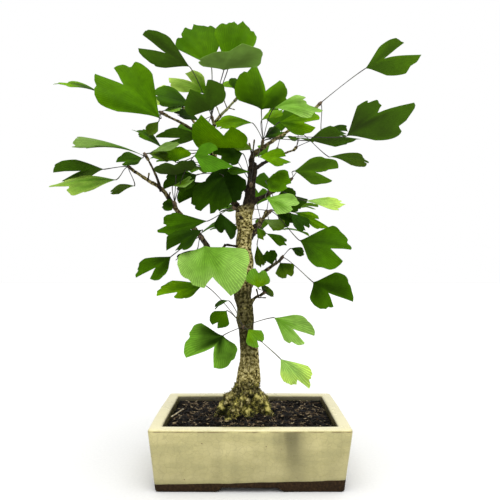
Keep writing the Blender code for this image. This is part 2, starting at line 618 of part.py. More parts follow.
class Leaf:
    """One fan leaf: where its blade starts, how it lies, and the small draws that make it unlike its fellows."""

    def __init__(self, number, base, left_end, right_end, cleft):
        draw = random.Random(number)
        self.base = true_place(base)
        left = true_place(left_end) - self.base
        right = true_place(right_end) - self.base
        self.lobe_lengths = (left.length, right.length)
        self.length = (left.length + right.length) / 2
        self.along = (left.normalized() + right.normalized()).normalized()
        self.up = right.cross(left).normalized()
        self.across = self.along.cross(self.up)
        # Each lobe's middle lies halfway from the leaf's middle to its side.
        self.half_spread = min(MOST_SPREAD, max(LEAST_SPREAD, 1.1 * left.angle(right)))
        self.cleft = cleft
        self.cleft_side = draw.uniform(-0.08, 0.08)
        self.cleft_width = 0.1 + 0.24 * cleft
        # Each lobe reaches furthest beside the cleft. A deeply cleft blade falls away more towards its sides.
        self.side_fall = 0.15 + 0.45 * cleft
        self.fold = draw.uniform(0.0, 0.16)
        self.arch = draw.uniform(0.1, 0.36)
        self.wave = draw.uniform(0.03, 0.055)
        self.wave_count = draw.choice((4, 5))
        self.wave_start = draw.uniform(0, 2 * math.pi)
        self.scallop_start = draw.uniform(0, 2 * math.pi)

    def edge_radius(self, u):
        """Distance from base to outer edge in direction u, from -1 to 1 across the fan."""
        notch = 1 - self.cleft * max(0, 1 - abs(u - self.cleft_side) / self.cleft_width)
        aside = max(0, abs(u - self.cleft_side) - self.cleft_width) / (1 - self.cleft_width)
        shoulder = 1 + self.side_fall * (0.2 - aside**1.3) - 0.12 * aside**6
        scallop = 1 + 0.025 * math.sin(9 * u + self.scallop_start)
        rightness = min(1, max(0, (u - self.cleft_side) / (2 * self.cleft_width) + 0.5))
        lobe = self.lobe_lengths[0] * (1 - rightness) + self.lobe_lengths[1] * rightness
        return lobe * notch * shoulder * scallop

    def point(self, u, v):
        """The blade's middle surface at u across the fan and v from base to outer edge."""
        radius = v * self.edge_radius(u)
        share = radius / self.length
        angle = self.half_spread * u * (1 - 0.4 * math.exp(-share / 0.16))
        ahead = radius * math.cos(angle)
        aside = radius * math.sin(angle)
        lift = self.fold * abs(aside) * share
        lift += self.arch * self.length * share * (1 - share)
        lift += self.wave * self.length * share**2 * math.sin(self.wave_count * u + self.wave_start)
        return self.base + self.along * ahead + self.across * aside + self.up * lift

    def columns(self):
        """Directions across the fan at which the blade is built: each lobe, and the cleft between them."""
        count = 3 + (self.length > SMALL_LEAF) + (self.length > BIG_LEAF)
        left_end = self.cleft_side - self.cleft_width
        right_start = self.cleft_side + self.cleft_width
        left = [-1 + (left_end + 1) * i / (count - 1) for i in range(count)]
        right = [right_start + (1 - right_start) * i / (count - 1) for i in range(count)]
        return left + [self.cleft_side] + right

    def stalk_line(self, bud, spur_direction):
        """Middle of the stalk: it leaves the bud with the spur, bends over and meets the blade head on."""
        span = (self.base - bud).length
        straight = (self.base - bud).normalized()
        leaving = (straight * 2 + spur_direction).normalized() * span * 0.7
        arriving = (straight * 2 + self.along).normalized() * span * 0.7
        steps = 2 + (span > 16) + (span > 50)
        line = []
        for i in range(steps + 1):
            t = i / steps
            line.append(
                bud * (2 * t**3 - 3 * t**2 + 1) + leaving * (t**3 - 2 * t**2 + t)
                + self.base * (3 * t**2 - 2 * t**3) + arriving * (t**3 - t**2)
            )
        return line

    def stalk_sides(self, line):
        """Sideways direction of the stalk at each of its points, turned back step by step from the blade's."""
        side = self.across
        sides = [side]
        for before, after in reversed(list(zip(line, line[1:]))):
            ahead = (after - before).normalized()
            side = (side - ahead * side.dot(ahead)).normalized()
            sides.append(side)
        return sides[::-1]

    def build(self, bud, spur_direction, collection):
        """The whole leaf as one sheet, narrow along the stalk and a fan beyond it, then given its thickness."""
        columns = self.columns()
        rows = BIG_BLADE_ROWS if self.length > BIG_LEAF else BLADE_ROWS
        line = self.stalk_line(bud, spur_direction)
        sides = self.stalk_sides(line)
        last_row = len(line) + len(rows) - 1
        builder = bmesh.new()
        bmesh.ops.create_grid(builder, x_segments=len(columns) - 1, y_segments=last_row, size=1)
        thickness = builder.verts.layers.deform.verify()
        for vertex in builder.verts:
            column = round((vertex.co.x + 1) / 2 * (len(columns) - 1))
            row = round((vertex.co.y + 1) / 2 * last_row)
            if row < len(line):
                turn = -1 if column <= len(columns) // 2 else 1
                vertex.co = line[row] + sides[row] * STALK_RADIUS * turn
                vertex[thickness][0] = 1
            else:
                vertex.co = self.point(columns[column], rows[row - len(line)])
                vertex[thickness][0] = BLADE_THICK / (2 * STALK_RADIUS)
        bmesh.ops.remove_doubles(builder, verts=builder.verts, dist=0.05)
        bmesh.ops.triangulate(builder, faces=builder.faces)
        leaf = new_object("leaf", mesh_of(builder), collection)
        leaf.vertex_groups.new(name="thickness")
        thick = leaf.modifiers.new("thick", "SOLIDIFY")
        thick.thickness = 2 * STALK_RADIUS * MM
        thick.offset = 0
        thick.vertex_group = "thickness"
        return leaf


def make_leaves(parts, helpers, material):
    number = 0
    for spur, rows in LEAVES.items():
        foot, tip = (Vector(p) for p in SPURS[spur])
        direction = (tip - foot).normalized()
        start = tip + direction * GAP
        end = start + direction * BUD_LENGTH
        bunch = turned_along(start, end, BUD_RADIUS, BUD_RADIUS * 0.6, 6, "bud", parts)
        for row in rows:
            Leaf(number, *row).build((start + end) / 2, direction, helpers)
            number += 1
        combine(bunch, helpers, "UNION", "MANIFOLD")
        finish_piece("leaves_" + spur, bunch, material, 50)


def main():
    clear_scene()
    parts = new_collection("ginkgo_bonsai")
    helpers = new_collection("helpers")
    materials = make_materials()
    make_pot(parts, helpers, materials["glazed_clay"])
    make_drain_nets(parts, materials["drain_net"])
    make_wood(parts, helpers, materials["bark"])
    make_soil(parts, helpers, materials["soil"])
    make_leaves(parts, helpers, materials["leaf"])


main()
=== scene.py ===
"""A ginkgo bonsai in a glazed rectangular pot, dressed piece by piece over its CAD frame.

The sections follow the way such a tree is put together: pot, drain nets, wood, soil and what lies on it,
moss, and then the leaves, bunch by bunch. Sizes are in millimetres and become metres where a mesh is
made. X runs to the right along the pot, Y away from the viewer and Z up.
"""

import json
import math
import random

import bmesh
import bpy
from mathutils import Matrix, Vector, kdtree, noise

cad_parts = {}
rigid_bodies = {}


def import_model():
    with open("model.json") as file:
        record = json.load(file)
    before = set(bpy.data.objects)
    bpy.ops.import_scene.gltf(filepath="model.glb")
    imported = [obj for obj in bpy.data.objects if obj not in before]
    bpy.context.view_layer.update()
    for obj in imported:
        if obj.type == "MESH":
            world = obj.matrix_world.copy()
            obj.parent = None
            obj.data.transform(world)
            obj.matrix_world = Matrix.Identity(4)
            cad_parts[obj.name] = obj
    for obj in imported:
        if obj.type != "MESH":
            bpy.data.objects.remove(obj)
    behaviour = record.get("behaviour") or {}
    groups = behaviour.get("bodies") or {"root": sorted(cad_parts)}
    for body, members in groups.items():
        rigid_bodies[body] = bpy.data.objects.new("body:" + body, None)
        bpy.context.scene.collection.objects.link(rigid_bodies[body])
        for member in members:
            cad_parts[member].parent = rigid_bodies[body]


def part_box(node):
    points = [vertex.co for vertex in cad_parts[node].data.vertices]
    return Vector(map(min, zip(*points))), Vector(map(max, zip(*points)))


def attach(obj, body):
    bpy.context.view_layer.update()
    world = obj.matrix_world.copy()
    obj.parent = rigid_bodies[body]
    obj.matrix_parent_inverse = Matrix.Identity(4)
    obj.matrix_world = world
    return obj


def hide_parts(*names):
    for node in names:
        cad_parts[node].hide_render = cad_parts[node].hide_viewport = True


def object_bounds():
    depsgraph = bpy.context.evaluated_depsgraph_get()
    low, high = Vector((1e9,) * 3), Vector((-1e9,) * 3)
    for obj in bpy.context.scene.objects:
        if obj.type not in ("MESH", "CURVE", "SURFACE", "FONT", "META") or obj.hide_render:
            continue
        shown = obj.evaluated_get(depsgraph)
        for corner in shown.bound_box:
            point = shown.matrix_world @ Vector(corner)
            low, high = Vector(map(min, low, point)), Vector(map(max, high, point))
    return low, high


NOISE_SEED = 7

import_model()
cad_low, cad_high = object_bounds()
bpy.ops.object.select_all(action="DESELECT")
# Vector noise takes its offsets from the clock unless it is seeded.
noise.seed_set(NOISE_SEED)


# Pot: a rectangular tray of brown stoneware, pressed in a mould. Its walls lean in towards the foot, its
# rim is broad and rounded, and it stands on four corner feet with shallow recesses between them. It is
# dipped in a thick cream glaze that stops short of the foot, where the clay stays bare.

MM = 0.001
POT_WIDTH = 204.0
POT_DEPTH = 150.0
POT_HEIGHT = 63.0
WALL_LEAN = 7.5
SIDE_BOW = 1.0
CORNER_ROUND = 3.2
# The wall's section as (height, distance in from the outer face), up the outside, over the rim, down the
# inside.
POT_SECTION = (
    (0.8, 0.3), (1.6, 0.0), (5.0, 0.0), (8.0, 0.0), (11.0, 0.0), (16.0, 0.0), (24.0, 0.0), (32.0, 0.0),
    (40.0, 0.0), (48.0, 0.0), (55.0, 0.0), (60.2, 0.0), (61.5, 0.3), (62.4, 0.9), (62.9, 1.8),
    (63.0, 3.0), (63.0, 10.0), (62.8, 11.3), (62.2, 12.3), (61.2, 12.9), (59.5, 13.0), (50.0, 13.0),
    (20.0, 13.0), (14.0, 16.0),
)
FOOT_HEIGHT = 5.0
FOOT_WALL = 13.0
FOOT_GAP_FRONT = 55.0
FOOT_GAP_SIDE = 44.0
FOOT_GAP_SLOPE = 7.0
DRAIN_RADIUS = 9.0
DRAIN_SPACING = 84.0


def alone(thing):
    """Makes one object the active one and the only one selected."""
    bpy.ops.object.select_all(action="DESELECT")
    thing.select_set(True)
    bpy.context.view_layer.objects.active = thing


def just_added(name):
    """The primitive that was just added, under its name, with its place and size settled in its mesh."""
    thing = bpy.context.active_object
    thing.name = name
    alone(thing)
    bpy.ops.object.transform_apply(location=True, rotation=True, scale=True)
    return thing


def modify(thing, kind, **settings):
    """Adds one modifier with its settings and applies it."""
    step = thing.modifiers.new(kind.lower(), kind)
    for name, value in settings.items():
        setattr(step, name, value)
    alone(thing)
    bpy.ops.object.modifier_apply(modifier=step.name)


def push_out(thing, amount):
    """Moves each point of a mesh along its normal by the millimetres that amount gives for its place."""
    moves = [vertex.normal * amount(vertex.co / MM) * MM for vertex in thing.data.vertices]
    for vertex, move in zip(thing.data.vertices, moves):
        vertex.co += move


def smooth(thing, angle=None):
    """Shades a mesh smooth, all over or where its faces meet at less than an angle in degrees."""
    alone(thing)
    if angle is None:
        bpy.ops.object.shade_smooth()
    else:
        bpy.ops.object.shade_smooth_by_angle(angle=math.radians(angle))


def paint(thing, name, value):
    """Gives each point of a mesh a number for its finish to read, from its place in millimetres."""
    layer = thing.data.attributes.new(name, "FLOAT", "POINT")
    for vertex in thing.data.vertices:
        layer.data[vertex.index].value = value(vertex.co / MM)


def placed(name, data):
    """A new object in the scene."""
    thing = bpy.data.objects.new(name, data)
    bpy.context.scene.collection.objects.link(thing)
    return thing


def held(value):
    """A number held between 0 and 1."""
    return min(1, max(0, value))


def joined(name, things):
    """One object made of several."""
    alone(things[0])
    for thing in things[1:]:
        thing.select_set(True)
    bpy.ops.object.join()
    things[0].name = name
    return things[0]


def hex_colour(text):
    """Linear colour of an sRGB hex value."""
    parts = [int(text[i : i + 2], 16) / 255 for i in (0, 2, 4)]
    return (*[p / 12.92 if p <= 0.04045 else ((p + 0.055) / 1.055) ** 2.4 for p in parts], 1.0)


class Finish:
    """A material in the making: its shader, and the place on the object in metres for its patterns."""

    def __init__(self, name):
        self.material = bpy.data.materials.new(name)
        self.material.use_nodes = True
        self.tree = self.material.node_tree
        self.shader = self.tree.nodes["Principled BSDF"]
        self.place = self.node("TexCoord").outputs["Object"]

    def feed(self, socket, value):
        """Gives an input a value, or another node's output."""
        if isinstance(value, bpy.types.NodeSocket):
            self.tree.links.new(value, socket)
        else:
            socket.default_value = value

    def set(self, name, value):
        """Feeds one of the shader's own inputs."""
        self.feed(self.shader.inputs[name], value)

    def node(self, kind, settings=None, inputs=None):
        """Adds one shader node."""
        made = self.tree.nodes.new("ShaderNode" + kind)
        for name, value in (settings or {}).items():
            setattr(made, name, value)
        for name, value in (inputs or {}).items():
            self.feed(made.inputs[name], value)
        return made

    def axes(self, place):
        """X, Y and Z of a place, by name."""
        return self.node("SeparateXYZ", inputs={0: place}).outputs

    def stretched(self, scales):
        """The place, scaled on each axis."""
        return self.node("VectorMath", {"operation": "MULTIPLY"}, {0: self.place, 1: scales}).outputs[0]

    def noise(self, size, detail=2, rough=0.5, at=None):
        """Noise with features of a size in millimetres."""
        place = self.place if at is None else at
        inputs = {"Vector": place, "Scale": 1 / (size * MM), "Detail": detail, "Roughness": rough}
        return self.node("TexNoise", inputs=inputs).outputs["Fac"]

    def spread(self, value, low, high, new_low=0, new_high=1, smooth=False):
        """A value's range spread over a new one, and held at its ends."""
        settings = {"interpolation_type": "SMOOTHSTEP" if smooth else "LINEAR"}
        inputs = {"Value": value, "From Min": low, "From Max": high, "To Min": new_low, "To Max": new_high}
        return self.node("MapRange", settings, inputs).outputs[0]

    def maths(self, operation, *values):
        return self.node("Math", {"operation": operation}, dict(enumerate(values))).outputs[0]

    def attribute(self, name, output="Fac"):
        return self.node("Attribute", {"attribute_name": name}).outputs[output]

    def ramp(self, value, *stops):
        """Colours along a value, as (position, sRGB hex value) in order."""
        made = self.node("ValToRGB", inputs={0: value})
        places = made.color_ramp.elements
        first, *middle, last = stops
        for i, (position, colour) in enumerate((first, last, *middle)):
            stop = places[i] if i < 2 else places.new(position)
            stop.position = position
            stop.color = hex_colour(colour)
        return made.outputs["Color"]

    def between(self, low, high, share):
        return self.node("Mix", inputs={0: share, 2: low, 3: high}).outputs[0]

    def over(self, under, colour, share):
        """A colour laid over another by a share."""
        colour = hex_colour(colour) if isinstance(colour, str) else colour
        return self.node("Mix", {"data_type": "RGBA"}, {0: share, 6: under, 7: colour}).outputs[2]

    def times(self, colour, light):
        settings = {"data_type": "RGBA", "blend_type": "MULTIPLY"}
        return self.node("Mix", settings, {0: 1.0, 6: colour, 7: light}).outputs[2]

    def bump(self, strength, depth, height):
        """Relief too fine for the mesh."""
        self.set("Normal", self.node("Bump", inputs={
            "Strength": strength, "Distance": depth, "Height": height
        }).outputs[0])


def in_edit(thing, kind, wanted):
    """Goes into edit mode with just the wanted vertices or faces selected."""
    alone(thing)
    bpy.ops.object.mode_set(mode="EDIT")
    bpy.context.tool_settings.mesh_select_mode = (kind == "verts", False, kind == "faces")
    bpy.ops.mesh.select_all(action="DESELECT")
    shape = bmesh.from_edit_mesh(thing.data)
    for item in getattr(shape, kind):
        if wanted(item):
            item.select_set(True)
    bmesh.update_edit_mesh(thing.data)


def leave_edit():
    """Turns every face outward and goes back to object mode."""
    bpy.ops.mesh.select_all(action="SELECT")
    bpy.ops.mesh.normals_make_consistent(inside=False)
    bpy.ops.object.mode_set(mode="OBJECT")


def half_sizes(height, inset):
    """Half of the pot's width and depth at a height, at a distance in from its outer face."""
    lean = WALL_LEAN * (POT_HEIGHT - height) / POT_HEIGHT
    return (POT_WIDTH / 2 - lean - inset - SIDE_BOW, POT_DEPTH / 2 - lean - inset - SIDE_BOW)


first_width, first_depth = half_sizes(0, 1.2)
bpy.ops.mesh.primitive_plane_add(size=2)
bpy.context.active_object.scale = (first_width * MM, first_depth * MM, 1)
pot = just_added("glazed_pot")
in_edit(pot, "verts", lambda v: True)
bpy.ops.mesh.bevel(offset=CORNER_ROUND * MM, segments=5, affect="VERTICES")
bpy.ops.object.mode_set(mode="OBJECT")
outline = bmesh.new()
outline.from_mesh(pot.data)
sides = [e for e in outline.edges if e.calc_length() > 20 * MM]
bmesh.ops.subdivide_edges(outline, edges=sides, cuts=15)
outline.to_mesh(pot.data)
outline.free()
in_edit(pot, "faces", lambda f: True)
height, width, depth = 0.0, first_width, first_depth
for next_height, inset in POT_SECTION:
    next_width, next_depth = half_sizes(next_height, inset)
    bpy.ops.mesh.extrude_region_move(TRANSFORM_OT_translate={"value": (0, 0, (next_height - height) * MM)})
    bpy.ops.transform.resize(
        value=(next_width / width, next_depth / depth, 1), center_override=(0, 0, next_height * MM)
    )
    height, width, depth = next_height, next_width, next_depth
leave_edit()

# The sides bow out a little, and no hand-finished wall is quite true.
for vertex in pot.data.vertices:
    x, y, z = vertex.co / MM
    across, along = x / (POT_WIDTH / 2), y / (POT_DEPTH / 2)
    vertex.co.x += SIDE_BOW * across * math.cos(math.pi / 2 * along) * MM
    vertex.co.y += SIDE_BOW * along * math.cos(math.pi / 2 * across) * MM
    vertex.co.x += 0.35 * noise.noise(Vector((x / 46, y / 46, z / 30))) * MM
    vertex.co.y += 0.45 * noise.noise(Vector((x / 46 + 7, y / 46, z / 30))) * MM
    if z > 50:
        vertex.co.z += 0.35 * (noise.noise(Vector((x / 60, y / 60 + 3, 0))) - 0.3) * MM

# The foot is cut as a potter trims it: hollow inside, a sloping recess in each side, two drain holes.
cutters = bpy.data.collections.new("cutters")
bpy.context.scene.collection.children.link(cutters)


def to_cutters(thing):
    for home in thing.users_collection:
        home.objects.unlink(thing)
    cutters.objects.link(thing)


under_width = POT_WIDTH / 2 - WALL_LEAN - FOOT_WALL
under_depth = POT_DEPTH / 2 - WALL_LEAN - FOOT_WALL
bpy.ops.mesh.primitive_cube_add(size=2, location=(0, 0, 0))
bpy.context.active_object.scale = (under_width * MM, under_depth * MM, FOOT_HEIGHT * MM)
to_cutters(just_added("foot_hollow"))
for gap, length, turn in ((FOOT_GAP_FRONT, POT_DEPTH, 0), (FOOT_GAP_SIDE, POT_WIDTH, math.pi / 2)):
    bpy.ops.mesh.primitive_cube_add(size=2, location=(0, 0, 0))
    bpy.context.active_object.scale = (gap / 2 * MM, length * MM, FOOT_HEIGHT * MM)
    recess = just_added("foot_recess")
    in_edit(recess, "faces", lambda f: f.normal.z < -0.5)
    bpy.ops.transform.resize(value=(1 + 4 * FOOT_GAP_SLOPE / gap, 1, 1), center_override=(0, 0, 0))
    bpy.ops.object.mode_set(mode="OBJECT")
    recess.rotation_euler.z = turn
    alone(recess)
    bpy.ops.object.transform_apply(location=False, rotation=True, scale=False)
    to_cutters(recess)
for side in (-1, 1):
    bpy.ops.mesh.primitive_cylinder_add(
        vertices=32, radius=DRAIN_RADIUS * MM, depth=40 * MM, location=(side * DRAIN_SPACING / 2 * MM, 0, 0)
    )
    to_cutters(just_added("drain_hole"))
modify(pot, "BOOLEAN", operation="DIFFERENCE", operand_type="COLLECTION", collection=cutters, solver="EXACT")
for used in list(cutters.objects):
    bpy.data.objects.remove(used)
bpy.data.collections.remove(cutters)
modify(pot, "BEVEL", width=0.5 * MM, segments=2, limit_method="ANGLE", angle_limit=math.radians(50))


def inner_wall_shade(place):
    """How much painted shade the wall gets: its inner face, from just under the rim down."""
    x, y, z = place
    inner_width, inner_depth = half_sizes(z, 11.5)
    inside = abs(x) < inner_width and abs(y) < inner_depth and z > FOOT_HEIGHT
    return held((62.4 - z) / 1.5) if inside else 0


paint(pot, "inner_wall_painted_shade", inner_wall_shade)
smooth(pot, 40)

# Dipped stoneware: a milky cream glaze, glossy and pooled greener where it ran thick, finely crackled,
# pitted here and there, and broken thin and tan over the rim's edge. Below its wavering line the
# iron-brown clay is bare and dull.
look = Finish("cream_glazed_stoneware")
axes = look.axes(look.place)
clouds = look.noise(30, 6, 0.62, at=look.stretched((0.5, 0.5, 1.4)))
glaze = look.ramp(clouds, (0.3, "948E60"), (0.5, "A39B69"), (0.72, "B5AC7A"))
# Painted shadow: a darker, greener band down the front to the right of the middle.
streaks = look.noise(11, 3, at=look.stretched((1, 1, 0.09)))
shadow_middle = look.maths("MULTIPLY_ADD", streaks, 14 * MM, 34 * MM)
from_shadow_middle = look.maths("SUBTRACT", axes["X"], shadow_middle)
distance_from_shadow_middle = look.maths("ABSOLUTE", from_shadow_middle)
in_painted_shadow = look.spread(distance_from_shadow_middle, 21 * MM, 1 * MM, smooth=True)
on_front = look.spread(axes["Y"], -64 * MM, -68 * MM)
shadow_height_share = look.spread(axes["Z"], 12 * MM, 54 * MM, 0.3, 0.9)
below_rim = look.spread(axes["Z"], 62 * MM, 60.5 * MM)
painted_shadow = in_painted_shadow
for limit in (on_front, shadow_height_share, below_rim):
    painted_shadow = look.maths("MULTIPLY", painted_shadow, limit)
glaze = look.over(glaze, "57522F", painted_shadow)
# It is thinner and paler towards the rim, with faint upright runs.
paler = look.spread(axes["Z"], 8 * MM, 60 * MM, 0.86, 1.18)
runs = look.spread(streaks, 0.35, 0.65, 0.9, 1.06)
paler = look.maths("MULTIPLY", paler, runs)
glaze = look.times(glaze, paler)
# Crackle lines about 5 mm apart. Real ones are a tenth of a millimetre wide; these are wider, so that
# they show.
bent = look.node(
    "TexNoise", inputs={"Vector": look.place, "Scale": 1 / (9 * MM), "Detail": 2}
).outputs["Color"]
bent_place = look.node(
    "VectorMath", {"operation": "MULTIPLY_ADD"}, {0: bent, 1: (0.003, 0.003, 0.003), 2: look.place}
).outputs[0]
cells = look.node(
    "TexVoronoi", {"feature": "DISTANCE_TO_EDGE"}, {"Vector": bent_place, "Scale": 1 / (5.5 * MM)}
).outputs["Distance"]
crackle = look.spread(cells, 0.05, 0.0, 0, 0.3)
glaze = look.over(glaze, "6B6340", crackle)
# A few pits, where a bubble burst, show the brown clay.
pits = look.node("TexVoronoi", inputs={"Vector": bent_place, "Scale": 1 / (9 * MM)}).outputs
pit_spots = look.spread(pits["Distance"], 0.075, 0.05)
pit_drawn = look.node("SeparateColor", inputs={0: pits["Color"]}).outputs["Red"]
pit_there = look.maths("GREATER_THAN", pit_drawn, 0.55)
pit_mask = look.maths("MULTIPLY", pit_spots, pit_there)
glaze = look.over(glaze, "5B4328", pit_mask)
# Thin tan edge just under the rim, where the glaze drew back while it melted.
edge_wear = look.noise(14, 4)
edge_band = look.ramp(
    look.spread(axes["Z"], 59 * MM, 63 * MM), (0.2, "000000"), (0.45, "FFFFFF"), (0.62, "000000"),
    (1.0, "000000")
)
worn = look.spread(edge_wear, 0.32, 0.55, 0, 0.9)
worn = look.maths("MULTIPLY", edge_band, worn)
glaze = look.over(glaze, "5A4326", worn)
# Painted light: the rim's top, which faces the light, is painted creamier.
rim_top_painted_light = look.spread(axes["Z"], 61.6 * MM, 62.8 * MM, 0, 0.7)
glaze = look.over(glaze, "C9C29C", rim_top_painted_light)
# The glaze line climbs from 8 mm at the left to 12 mm at the right and wavers as it goes.
waver = look.noise(34, 3)
waver = look.maths("MULTIPLY_ADD", waver, 2.6 * MM, 8.6 * MM)
line = look.maths("MULTIPLY_ADD", axes["X"], 0.021, waver)
above_line = look.maths("SUBTRACT", axes["Z"], line)
glazed = look.spread(above_line, -0.15 * MM, 0.25 * MM)
rolled = look.spread(above_line, 3.5 * MM, 0.5 * MM, 0, 0.3, smooth=True)
glaze = look.over(glaze, "7D7A4E", rolled)
grit = look.noise(2.5, 6, 0.7)
clay = look.ramp(grit, (0.3, "19110A"), (0.5, "2B1F12"), (0.75, "40301C"))
glaze = look.over(clay, glaze, glazed)
# Inside, painted shade darkens the wall from just under the rim down.
inner_shade_share = look.attribute("inner_wall_painted_shade")
inner_shade_share = look.maths("MULTIPLY", inner_shade_share, 0.85)
look.set("Base Color", look.over(glaze, "2A2417", inner_shade_share))
sheen = look.spread(clouds, 0.3, 0.7, 0.2, 0.36)
look.set("Roughness", look.between(0.85, sheen, glazed))
ripple = look.noise(16)
pit_floor = look.maths("MULTIPLY_ADD", pit_mask, -0.25, ripple)
relief = look.between(grit, pit_floor, glazed)
relief = look.maths("MULTIPLY_ADD", glazed, 0.35, relief)
look.bump(0.55, 0.9 * MM, relief)
look.set("IOR", 1.5)
look.set("Specular IOR Level", look.between(0.1, 0.5, glazed))
pot.data.materials.append(look.material)
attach(pot, "root")
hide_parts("pot")


# Drain nets: squares of green plastic net laid over the two holes before the soil goes in, so that it can't
# wash out. They are moulded in one piece with a mesh of about 3 mm.

NET_SIDE = 34.0
NET_CELLS = 12
NET_THICK = 1.0

net_plastic = look = Finish("green_polyethylene_net")
# Polyethylene is waxy: a soft, even gloss, faintly cloudy where soil has rubbed it.
scuffs = look.noise(4, 4)
look.set("Base Color", look.ramp(scuffs, (0.35, "16301A"), (0.7, "2E5434")))
look.set("Roughness", look.spread(scuffs, 0, 1, 0.35, 0.65))

for name in ("drain_net_left", "drain_net_right"):
    low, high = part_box(name)
    middle = (low + high) / 2
    bpy.ops.mesh.primitive_grid_add(
        x_subdivisions=NET_CELLS, y_subdivisions=NET_CELLS, size=(NET_SIDE - NET_THICK) * MM, location=middle
    )
    net = just_added("net_over_hole_" + name.split("_")[-1])
    modify(net, "WIREFRAME", thickness=0.9 * NET_THICK * MM, use_even_offset=True, use_boundary=True)
    net.data.materials.clear()
    net.data.materials.append(net_plastic.material)
    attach(net, "root")
    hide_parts(name)


# Wood: one grown piece. An old trunk, cut back at the top, thick surface roots, a dark leader and thin
# young branches. Trunk and roots have pebbled, fissured bark; branches are smooth, with swollen joints.

# Each limb's middle line as (x, y, z, radius).
LIMBS = {
    "trunk": [
        (-5, 0, 34, 13), (-5, 0, 48, 17), (-6, 0, 60, 20), (-5.5, 0, 72, 17), (-3, 0, 83, 13.9),
        (-2, 0, 95, 13.6), (-1, 0, 108, 12.2), (0, 0, 122, 10.4), (-2.5, 0, 140, 9.2), (-5, 0, 160, 9.2),
        (-6.5, 0, 180, 9.4), (-8, 0, 197, 10), (-6.5, 0, 212, 9), (-5.5, 0, 230, 9.4), (-7, 0, 246, 8.8),
        (-6, 0, 262, 8.5), (-7, 0, 276, 9.6), (-8, 0, 285, 8.8), (-8, 1, 291, 5.5),
    ],
    "leader": [(-5, 0, 270, 7.5), (-1, 0, 294, 6.4), (1.5, 0, 318, 5.6), (4, 0, 341, 4.4)],
    "right_shoot": [
        (2, 1, 328, 3.4), (2, 0, 345, 3.2), (6, -3, 351, 3), (13, -6, 355, 2.7), (22, -9, 361, 2.1),
        (43, -13, 374, 1.7), (60, -14, 389, 1.5), (74, -14, 400, 1.2),
    ],
    "left_leader": [
        (-6, 4, 278, 4.6), (-20, 12, 299, 3.8), (-33, 13, 322, 3.3), (-40, 9, 346, 2.8), (-42, 5, 366, 2.5),
        (-41, 2, 384, 2.1), (-33, -1, 395, 1.7), (-25, -4, 402, 1.4), (-17, -6, 410, 1.1),
    ],
    "left_twig": [(-41, 6, 362, 2.2), (-55, -4, 371, 1.8), (-72, -18, 379, 1.5), (-90, -32, 385, 1.2)],
    "low_left_upshoot": [(-94, -38.5, 302, 1.8), (-99, -45, 319, 1.3), (-106, -50, 334, 1.0)],
    "left_fork": [(-53, -2, 370, 1.6), (-64, 4, 388, 1.4), (-76, 6, 403, 1.1)],
    "low_left_branch": [
        (-10, -3, 192, 4.4), (-24, -15, 209, 3.5), (-40, -26, 234, 3.1), (-54, -32, 256, 2.8),
        (-76, -36, 280, 2.5), (-92, -38, 303, 2.3), (-107, -40, 313, 1.9), (-122, -41, 323, 1.6),
    ],
    "right_twig": [(0, -3, 264, 2.8), (10, -10, 271, 2.1), (18, -15, 279, 1.5)],
    "small_right_twig": [(0, -4, 182, 2.2), (6, -8, 188, 1.5), (12, -9, 191, 1)],
    "low_right_branch": [(-2, 4, 200, 3), (14, 10, 215, 2.2), (34, 12, 229, 1.6)],
    "mid_right_branch": [(2, 2, 296, 3), (17, 10, 304, 2.2), (30, 14, 311, 1.8), (43, 18, 321, 1.3)],
    "low_back_branch": [(-5, 4, 246, 3.6), (2, 28, 258, 2.8), (12, 54, 274, 2.2), (20, 80, 292, 1.5)],
    "left_back_branch": [(0, 2, 308, 3.2), (-16, 28, 320, 2.5), (-38, 52, 336, 2), (-58, 70, 352, 1.4)],
    "right_back_branch": [(3, 2, 332, 2.6), (18, 24, 346, 2), (36, 46, 359, 1.5), (56, 64, 370, 1.1)],
    "root_left": [
        (-8, -3, 84, 8), (-21, -7, 76, 7.5), (-28, -9, 67, 6.5), (-33, -12, 55, 5), (-38, -14, 44, 2.5),
    ],
    "root_front_left": [(-8, -6, 76, 8.5), (-16, -17, 66, 7.5), (-23, -27, 55, 5.5), (-30, -36, 45, 3)],
    "root_front": [(-3, -6, 72, 8), (-2, -16, 62, 6.5), (2, -26, 52, 4.5), (6, -34, 44, 2.5)],
    "root_right": [(2, -4, 83, 8), (13, -9, 73, 6.5), (19, -14, 61, 5.5), (26, -19, 48, 2.5)],
    "root_back_right": [(2, 6, 82, 8), (13, 15, 69, 7), (21, 24, 57, 5), (30, 33, 46, 2.5)],
    "root_back_left": [(-8, 6, 82, 8), (-19, 15, 70, 7), (-29, 24, 58, 5), (-38, 32, 46, 2.5)],
}
# Age of a branch's bark at its foot and at its tip: 0 is a green shoot, 1 is the darkest grey bark.
BRANCH_AGES = {"left_leader": (1.0, 0.1), "right_shoot": (1.0, 0.35), "left_fork": (0.7, 0.3)}
COMMON_AGES = (1.0, 0.7)
# Stubs of dead twigs and resting buds, as (foot, tip, radius).
STUBS = [
    ((-13, -4, 245), (-27, -9, 247), 1.3), ((-27, -9, 247), (-32, -10, 241), 1.5),
    ((9, -9, 189), (7, -11, 198), 0.9), ((9, -9, 188), (18, -13, 188), 0.7),
    ((30, 12, 227), (29, 8, 238), 0.9), ((33, 12, 228), (38, 10, 236), 0.7),
    ((2, -3, 350), (-1, -6, 362), 1.0), ((3, -2, 350), (5, -6, 366), 0.9),
    ((-9, -9, 276), (-13, -15, 281), 1.6), ((4, -8, 262), (8, -14, 259), 1.3),
    ((-38, 0, 388), (-35, -7, 390), 0.7), ((-34, -1, 394), (-38, -4, 404), 0.6),
    ((-26, -4, 402), (-30, -8, 411), 0.6), ((-24, -4, 402), (-17, -8, 399), 0.6),
    ((58, -14, 387), (57, -16, 394), 0.7), ((-64, -34, 268), (-70, -38, 266), 0.9),
    ((-86, -38, 295), (-84, -42, 301), 0.8), ((-108, -40, 314), (-106, -44, 321), 0.9),
]
